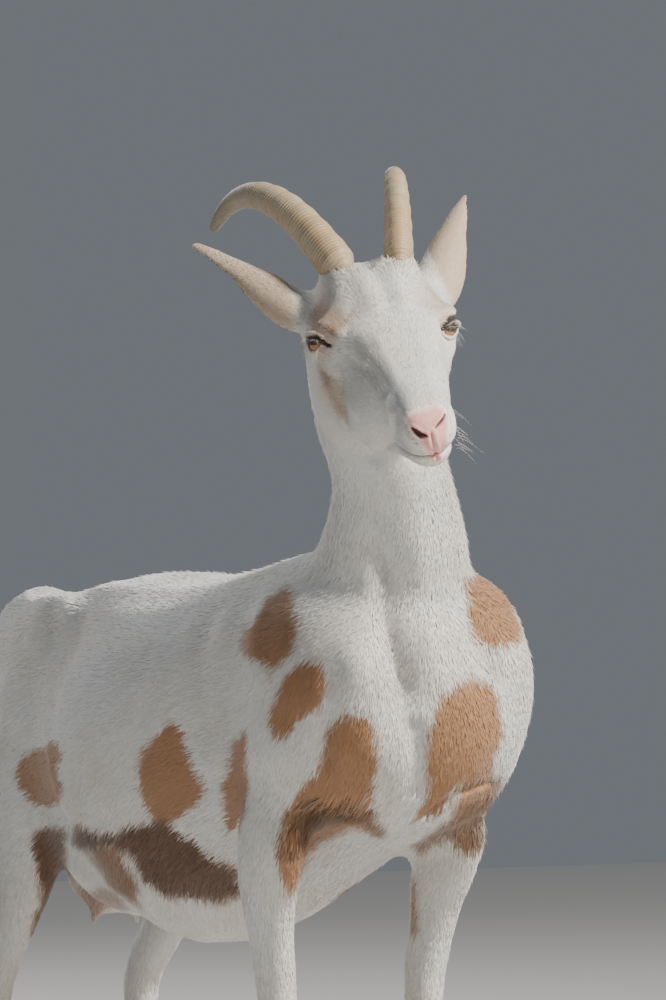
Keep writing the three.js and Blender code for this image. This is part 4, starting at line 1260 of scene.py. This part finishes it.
def hair_size(points):
    """Each tuft's length, width and lift, in metres: longest in the armpits, on belly and back line, shortest
    on the face, the ears and the feet."""
    place, here = drawn(points), to_head(points)
    head, leg = headness(points), legness(points)
    x, y, z = place.T
    shaggy = blob(place, [80, -104, 462], [26, 28, 22]) + blob(place, [90, -54, 436], [18, 20, 26])
    shaggy += 0.9 * crease(place, [(-34, -96, 452), (-70, -92, 464), (-90, -60, 450), (-95, -44, 420)], 18)
    long_body = 0.0115 + 0.003 * blob(place, [0, -110, 470], [110, 60, 70])
    long_body += 0.005 * blob(place, [0, 200, 370],
                              [90, 220, 40]) + 0.005 * ease(z, 665, 695) * ease(y, 20, 80)
    long_body += 0.016 * shaggy
    fringes = [0.006 * blob(place, [across, 300, 420], [40, 60, 30]) for across in (-104, 104)]
    long_body += fringes[0] + fringes[1]
    length = long_body * (1 - leg) + (0.0088 - 0.0025 * ease(-z, -160, -60)) * leg
    front = ease(-here[:, 1], 30, 110)
    on_head = 0.0072 - 0.0030 * front + 0.004 * ease(here[:, 1], 55, 100)
    tufts = [blob(here, [side * 26, 56, 46], [24, 22, 18]) for side in SIDES.values()]
    for tuft in tufts:
        on_head = on_head + 0.009 * tuft
    ear = by_ears(here, (62, 74), (40, 60))
    on_head = on_head * (1 - ear) + 0.0052 * ear
    on_head = on_head * (0.45 + 0.55 * ease(near_eye(here), 16, 32))
    length = length * (1 - head) + on_head * head
    width = (0.0022 - 0.0005 * leg + 0.0008 * shaggy) * (1 - head) + (0.0015 - 0.0003 * front) * head
    lift = (0.0016 - 0.0006 * leg + 0.0030 * shaggy) * (1 - head) + (0.0007 - 0.0002 * front) * head
    return length, width, lift + 0.0026 * head * sum(tufts)


def even_spots(mask, count):
    """Spots spread evenly over the area of the picked triangles, and the skin's normals there."""
    tris = skin_tris[mask]
    a, b, c = (skin_verts[tris[:, k]] for k in range(3))
    total = np.cumsum(np.linalg.norm(np.cross(b - a, c - a), axis=1) / 2)
    share = (np.arange(count) + RNG.random(count)) / count
    pick = np.searchsorted(total, share * total[-1]).clip(0, len(tris) - 1)
    p, q = RNG.random(count), RNG.random(count)
    p, q = np.where(p + q > 1, 1 - p, p), np.where(p + q > 1, 1 - q, q)
    root = a[pick] + (b - a)[pick] * p[:, None] + (c - a)[pick] * q[:, None]
    n = skin_normals[tris[pick]]
    return root, unit(n[:, 0] * (1 - p - q)[:, None] + n[:, 1] * p[:, None] + n[:, 2] * q[:, None])


SOLES_MM = 26.0  # no hair below this height
SPIKE = np.array([[0, 2, 1], [0, 1, 3], [1, 2, 3],
                  [2, 0, 3]])  # a tuft's triangles: two root points, its ridge, its tip


def coat_piece(name, mask, count, unwrap):
    """Tufts over the picked triangles. Each is a closed three-sided spike, flat on the skin, from a ring at
    its root to a point: 4 points and 4 triangles. Roots are spread evenly over the area. Each tuft takes the
    markings found a few millimetres off, so that patches end in hair, and is shaded mostly like the skin it
    lies on."""
    count = count
    root, n = even_spots(mask, count)
    covered = (1 - markings(root)["bare"]) * (1 - lid_rim_and_shade(root))
    covered = covered * (1 - nostril_depth(root)) * (1 - mouth_depth(root))
    keep = (covered > RNG.uniform(0.55, 0.95, count)) & (drawn(root)[:, 2] > SOLES_MM)
    root, n = root[keep], n[keep]
    count = len(root)
    length, width, lift = hair_size(root)
    length = length * RNG.uniform(0.75, 1.25, count)
    width = width * RNG.uniform(0.7, 1.25, count) * 1
    lift = lift * (RNG.uniform(0.7, 1.1, count) + 1.1 * (RNG.random(count) < 0.03))
    along = lie(root, n)
    turned = RNG.normal(0, 0.12, count)[:, None]
    along = unit(along + np.cross(n, along) * turned)
    across = np.cross(n, along)
    tip = on_skin(root + along * length[:, None]) + n * lift[:, None]
    w, h = width[:, None] / 2, width[:, None] * 0.14
    sink = -n * 0.0003
    verts = np.stack([root + sink - across * w, root + sink + across * w, root + n * h, tip],
                     1).reshape(-1, 3)
    faces = (SPIKE[None] + 4 * np.arange(count)[:, None, None]).reshape(-1, 3)
    obj = piece(name, verts, faces, coat_material, "coat")
    head, on_ears = headness(root), np.abs(to_head(root)[:, 0]) > 64
    drift = along * RNG.normal(0, 0.0022, (count, 1)) + across * RNG.normal(0, 0.0012, (count, 1))
    drift = drift * (1 - 0.6 * head)[:, None]
    give(obj.data, {key: np.repeat(value, 4) for key, value in markings(root + drift).items()
                    if key != "bare"})
    give(obj.data, {"shade": np.repeat(RNG.random(count), 4)})
    strand = np.array([[0.0, 0.0], [1.0, 0.0], [0.5, 0.0], [0.5, 1.0]])[faces.ravel() % 4]
    home = np.repeat(unwrap(root), 4, axis=0)[faces.ravel()]
    for uv_name, uv in (("strand", strand), ("OFBake", 0.004 + 0.988 * home + 0.003 * (strand - 0.5))):
        obj.data.uv_layers.new(name=uv_name).data.foreach_set("uv", uv.astype(np.float32).ravel())
    own = np.repeat(0.3 + 0.04 * head - 0.22 * on_ears * head, 4)[:, None]
    lean = np.repeat(n, 4, axis=0) * (1 - own) + own * vertex_normals(verts, faces)
    obj.data.normals_split_custom_set_from_vertices(unit(lean).astype(np.float32))
    return obj


def turn_share(east, north):
    """The share of a full turn at which a point lies, 0 to 1."""
    return np.arctan2(east, north) / (2 * np.pi) + 0.5


def round_axis(points, middle_xz, low, high):
    """An unwrap round a lengthwise line: (share of the turn, share of the way along)."""
    place = drawn(points)
    angle = turn_share(place[:, 0] - middle_xz[0], place[:, 2] - middle_xz[1])
    return np.stack([angle, np.clip((place[:, 1] - low) / (high - low), 0, 1)], 1)


def round_leg(points):
    """An unwrap of the four legs in four strips: (share of the turn, height)."""
    place = drawn(points)
    x, y, z = place.T
    hind = y > 250
    strip = (x > 0) * 1 + hind * 2
    centre_y = np.where(hind, 470 + 0.25 * (300 - z), 10.0)
    angle = turn_share(np.abs(x) - 90, y - centre_y)
    return np.stack([(strip + angle * 0.98 + 0.01) / 4, np.clip(z / 470, 0, 1)], 1)


def round_head(points):
    """An unwrap round the head's length: (share of the turn, share of the way back from the nose)."""
    here = to_head(points)
    angle = turn_share(here[:, 0], here[:, 2] + 20)
    return np.stack([angle, np.clip((here[:, 1] + 150) / 270, 0, 1)], 1)


def round_ear(points):
    """An unwrap of both ears in two halves: (share of the turn, share of the way out)."""
    here = to_head(points)
    side = np.where(here[:, 0] > 0, 1.0, -1.0)
    flat = np.zeros((len(points), 2))
    for s in SIDES.values():
        root, axis, mouth, edge = ear_frame(s)
        away = here - root
        angle = turn_share(away @ edge, away @ mouth - 8)
        way_out = np.clip((away @ axis + 20) / (EAR_MM + 30), 0, 1)
        spot = np.stack([((s > 0) + angle * 0.98 + 0.01) / 2, way_out], 1)
        flat = np.where((side == s)[:, None], spot, flat)
    return flat


def neck_unwrap(points):
    """An unwrap round the neck: (share of the turn, height)."""
    place = drawn(points)
    angle = turn_share(place[:, 0] + 15, place[:, 1] + 40)
    return np.stack([angle, np.clip((place[:, 2] - 590) / 260, 0, 1)], 1)


coat_material = coat_finish()
spots = skin_verts[skin_tris].mean(1)
on_head = headness(spots) > 0.5
head_spots = to_head(spots)
on_ear = on_head & (np.abs(head_spots[:, 0]) > 64) & (head_spots[:, 1] > 44)
on_face = on_head & ~on_ear & (head_spots[:, 1] < 12)
on_crown = on_head & ~on_ear & ~on_face
sx, sy, sz = drawn(spots).T
on_leg = ~on_head & (sz < 400) & ((sy < 80) | (sy > 300) | (sz < 330)) & ~((np.abs(sx) < 44) & (sz > 300))
on_neck = ~on_head & ~on_leg & (sz > 640) & (sy < 60)
on_trunk = ~on_head & ~on_leg & ~on_neck
for name, mask, count, unwrap in (
    ("coat_face", on_face, 42000, round_head),
    ("coat_crown", on_crown, 27000, round_head),
    ("coat_ears", on_ear, 22000, round_ear),
    ("coat_neck", on_neck, 36000, neck_unwrap),
    ("coat_chest", on_trunk & (sy < 0), 46000, lambda p: round_axis(p, (0, 560), -200, 20)),
    ("coat_shoulder", on_trunk & (sy >= 0) & (sy < 180), 37000, lambda p: round_axis(p, (0, 540), -20, 200)),
    ("coat_flank", on_trunk & (sy >= 180) & (sy < 370), 40000, lambda p: round_axis(p, (0, 540), 160, 390)),
    ("coat_rump", on_trunk & (sy >= 370), 42000, lambda p: round_axis(p, (0, 540), 350, 700)),
    ("coat_forelegs", on_leg & (sy < 200), 30000, round_leg),
    ("coat_hindlegs", on_leg & (sy >= 200), 36000, round_leg),
):
    coat_piece(name, mask, count, unwrap)

# ---- Horns, eyes, hooves and long hairs ----


HORN_MM = 246  # along its curve


def horn_shape(side):
    """A horn: it leaves the forehead leaning back and out and bends down in an arc that tightens to its tip,
    at 14 - 100 t^1.7 degrees above the line that runs straight back. Its oval section has half-widths 2 + 15
    (1 - t)^0.45 across and 2 + 18 (1 - t)^0.6 deep, in mm, with growth rings 3.3 mm apart and broader waves
    every 23 mm that fade towards the tip. The left one is narrower."""
    rings, around = ((420, 56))
    k = np.linspace(0, 1, 14)
    angle, out = np.radians(14 - 100 * k**1.7), math.radians(15)
    ahead = np.stack([side * math.sin(out) + 0 * k, np.cos(angle) * math.cos(out),
                      np.sin(angle) * math.cos(out)], 1)
    steps = np.concatenate([np.zeros((1, 3)), np.cumsum(ahead[:-1], 0)])
    stops = np.array([side * 25, 56.0, 35.0]) + steps * HORN_MM / 13
    t = np.linspace(0, 1, rings)
    spine = np.stack([np.polynomial.Polynomial.fit(k, stops[:, j], 6)(t) for j in range(3)], 1)
    along = unit(np.gradient(spine, axis=0))
    lean = np.radians(14 - 100 * t**1.7)
    flank = unit(np.cross(np.stack([0 * t, -np.sin(lean), np.cos(lean)], 1), along))
    above = np.cross(along, flank)
    taper = (1 - t) ** 0.6
    bulk = 0.6 + 0.4 * ease(t, 0, 0.06)
    slim = 0.78 if side > 0 else 1.0
    tip = np.sqrt(np.clip(1 - (np.clip(t - 0.985, 0, 1) / 0.0151) ** 2, 0.01, 1))
    wide = (2 + 15 * taper**0.75) * bulk * tip * slim
    deep = (2 + 18 * taper) * bulk * tip * (0.4 + 0.6 * slim)
    turned = full_turn(around)[None, :]
    far = (t * HORN_MM)[:, None]
    fine = np.sin(2 * np.pi * (far + 0.7 * np.sin(turned + side) + 1.1 * np.sin(far / 17)) / 3.3)
    broad = np.sin(2 * np.pi * (far + 2.0 * np.sin(turned)) / 23)
    ridge = 0.30 * fine * (1 - ease(far, 130, 215))
    ridge = ridge + 0.35 * broad * (1 - ease(far, 110, 200)) * ease(far, 8, 30)
    ridge = ridge + 0.5 * bell(turned - np.pi / 2, 0.5) * (1 - ease(far, 60, 220))
    cos, sin = np.cos(turned), np.sin(turned)
    spots = spine[:, None] + ((wide[:, None] + ridge) * cos)[..., None] * flank[:, None]
    spots = spots + ((deep[:, None] + ridge) * sin)[..., None] * above[:, None]
    verts, tris = tubes(spots[None])
    values = {"along": np.append((far / HORN_MM + 0 * cos).ravel(), [0, 1]),
              "east": np.append((cos + 0 * far).ravel(), [0, 0]),
              "north": np.append((sin + 0 * far).ravel(), [0, 0])}
    return from_head(verts), tris, values


def eye_shape(side):
    """An eyeball with a low bulge over the iris, 0.9 mm (1 - S(angle from the gaze; 18, 38 degrees)), and
    where each point lies in the plane of the iris, in mm: level with the horizon, and up."""
    rings, around = ((84, 96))
    gaze = unit(GAZE[side])
    level = unit(np.cross(gaze, HEAD_TURN.T @ [0, 0, 1.0]))
    up = np.cross(level, gaze)
    theta = np.pi * np.linspace(0, 1, rings + 2)[1:-1, None] ** 1.3
    phi = full_turn(around)[None, :]
    r = EYE_R_MM + 0.9 * (1 - ease(np.degrees(theta), 18, 38))
    across, high, ahead = (v[..., None] for v in (r * np.sin(theta) * np.cos(phi), r * np.sin(theta)
                                                  * np.sin(phi),
                                                  r * np.cos(theta) + 0 * phi))
    spots = across * level + high * up + ahead * gaze
    verts, tris = tubes(spots[None])
    verts[-2:] = [gaze * r[0, 0], -gaze * r[-1, 0]]
    return from_head(verts + eye_at(side)), tris, {"level": verts @ level, "up": verts @ up}


def hooves_shape(nodes):
    """The claws and dewclaws remeshed and rounded, their soles flat on the floor."""
    verts, quads = remeshed([node_solid(name) for name in nodes], 0.0017)
    verts = Web(len(verts), quads).blur(verts, 3, 0.6)
    verts[:, 2] = np.where(verts[:, 2] < 0.0006, 0, verts[:, 2])
    return verts, to_triangles(quads)


def hairs_shape(roots, ways, lengths, droop, radius):
    """Single long hairs as tubes of five sides, each a curve root + way t length + droop t^2 length, thinning
    from radius to a fifth of it."""
    t = np.linspace(0, 1, 7)[None, :, None]
    spine = roots[:, None] + (ways[:, None] * t + np.asarray(droop)[None, None]
                              * t**2) * lengths[:, None, None]
    along = unit(np.gradient(spine, axis=1))
    side = unit(np.cross(along, np.array([0.3, 0.2, 1.0])))
    other = np.cross(along, side)
    turned = full_turn(5)
    ring = side[:, :, None] * np.cos(turned)[:, None] + other[:, :, None] * np.sin(turned)[:, None]
    return tubes(spine[:, :, None] + ring * (radius * (1 - 0.8 * t))[..., None])


def long_hairs():
    """Pale lashes along the upper lids and below the eyes, and thin whiskers on lips, chin and cheeks."""
    down = HEAD_TURN.T @ np.array([0, 0, -1.0])
    sets = []
    for side in SIDES.values():
        _, _, _, gaze, slit, up = lid_place(np.zeros((1, 3)), side)
        s = RNG.uniform(-0.75, 0.95, 20)
        out = LID_MID + LID_HALF * s
        top, low, _ = lid_edges(out, side)
        for edge, lift, size in ((top + 5, 0.45, 8.5), (low - 4, -0.5, 7.0)):
            a, b = np.tan(np.radians(out)), np.tan(np.radians(edge))
            ray = unit(gaze + a[:, None] * slit + b[:, None] * up)
            roots = eye_at(side) + ray * (EYE_R_MM + 1.2)
            ways = unit(ray + lift * up + 0.35 * s[:, None] * slit + RNG.normal(0, 0.12, (20, 3)))
            sets.append((roots, ways, size * RNG.uniform(0.7, 1.4, 20), down * 0.7, 0.08))
        count = 16
        spots = [side * RNG.uniform(19, 25, count), RNG.uniform(-128, -96, count),
                 RNG.uniform(-46, -12, count)]
        spots = untwist(np.stack(spots, 1), back=True)
        ways = unit(np.array([side * 1.0, -0.45, -0.25]) + RNG.normal(0, 0.25, (count, 3)))
        sets.append((spots, ways, RNG.uniform(12, 26, count), down * 0.35, 0.11))
    spots = np.stack([RNG.uniform(-10, 10, 14), RNG.uniform(-124, -106, 14), RNG.uniform(-66, -60, 14)], 1)
    sets.append((spots, unit(np.array([0, -0.5, -1.0]) + RNG.normal(0, 0.3, (14, 3))),
                 RNG.uniform(12, 24, 14),
                 down * 0.2, 0.12))
    verts, tris, start = [], [], 0
    for one in sets:
        points, faces = hairs_shape(*one)
        verts.append(points)
        tris.append(faces + start)
        start += len(points)
    return from_head(np.concatenate(verts)), np.concatenate(tris)


horn_material, eye_material = horn_finish(), eye_finish()
for name, side in SIDES.items():
    for kind, shape, finish in (("horn", horn_shape, horn_material), ("eye", eye_shape, eye_material)):
        verts, tris, values = shape(side)
        give(piece(f"{kind}_{name}_visual", verts, tris, finish, kind, f"{kind}_{name}").data, values)
HOOF_NODES = [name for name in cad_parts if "claw" in name]
piece("hooves", *hooves_shape(HOOF_NODES), hoof_finish(), "hoof", *HOOF_NODES)
piece("long_hairs", *long_hairs(), plain_finish("long hair", (0.80, 0.76, 0.68), 0.5), "coat")

# ---- Floor, light and camera ----

LENS_MM, SENSOR_MM = 246.0, 36
LENS_AWAY, LENS_ASIDE, LENS_BELOW = 6.0, 0.04873, 0.14258  # from the middle between the eyes, in metres
view_right = turn("Z", VIEW_ANGLE)[:, 0]
view_ahead = turn("Z", VIEW_ANGLE)[:, 1]
lens_at = view_right * (HEAD_AT @ view_right - LENS_ASIDE) + view_ahead * (HEAD_AT @ view_ahead - LENS_AWAY)
lens_at[2] = HEAD_AT[2] - LENS_BELOW

FLOOR_HALF = 6.0  # metres
corners = np.array([[-1, -1, 0], [1, -1, 0], [1, 1, 0], [-1, 1, 0]]) * FLOOR_HALF
floor = make_object("floor", corners, [[0, 1, 2, 3]], False)
floor.data.materials.append(plain_finish("floor", (0.62, 0.61, 0.59), 0.9))


def area_light(name, place, towards, size, power, colour=(1, 1, 1)):
    """A square lamp that faces a point."""
    lamp = bpy.data.lights.new(name, "AREA")
    lamp.size, lamp.energy, lamp.color = size, power, colour
    obj = linked(name, lamp)
    obj.location = place
    obj.rotation_euler = (Vector(towards) - Vector(place)).to_track_quat("-Z", "Y").to_euler()


def around(right, ahead, up):
    """A point so far to the right of, beyond and above the goat's middle, as the camera sees it."""
    return (view_right * right + view_ahead * ahead + np.array([0, 0, up])).tolist()


area_light("key", around(3.3, -2.3, 3.5), (0, 0, 0.6), 0.75, 560, (1, 0.955, 0.89))
area_light("fill", around(-3.2, -2.4, 1.4), (0, 0, 0.5), 2.6, 20, (0.78, 0.88, 1))
area_light("rim", around(-1.4, 3.0, 2.8), (0, 0, 0.6), 1.8, 70)
world = bpy.data.worlds.new("world")
bpy.context.scene.world = world
world.use_nodes = True
sky = world.node_tree.nodes["Background"].inputs
sky["Color"].default_value = (0.80, 0.86, 0.95, 1)
sky["Strength"].default_value = 0.2

camera = linked("camera", bpy.data.cameras.new("camera"))
camera.data.sensor_fit = "VERTICAL"
camera.data.sensor_height = SENSOR_MM
camera.data.lens = LENS_MM
camera.location = lens_at
camera.rotation_euler = (math.pi / 2, 0, math.radians(VIEW_ANGLE))
bpy.context.scene.camera = camera
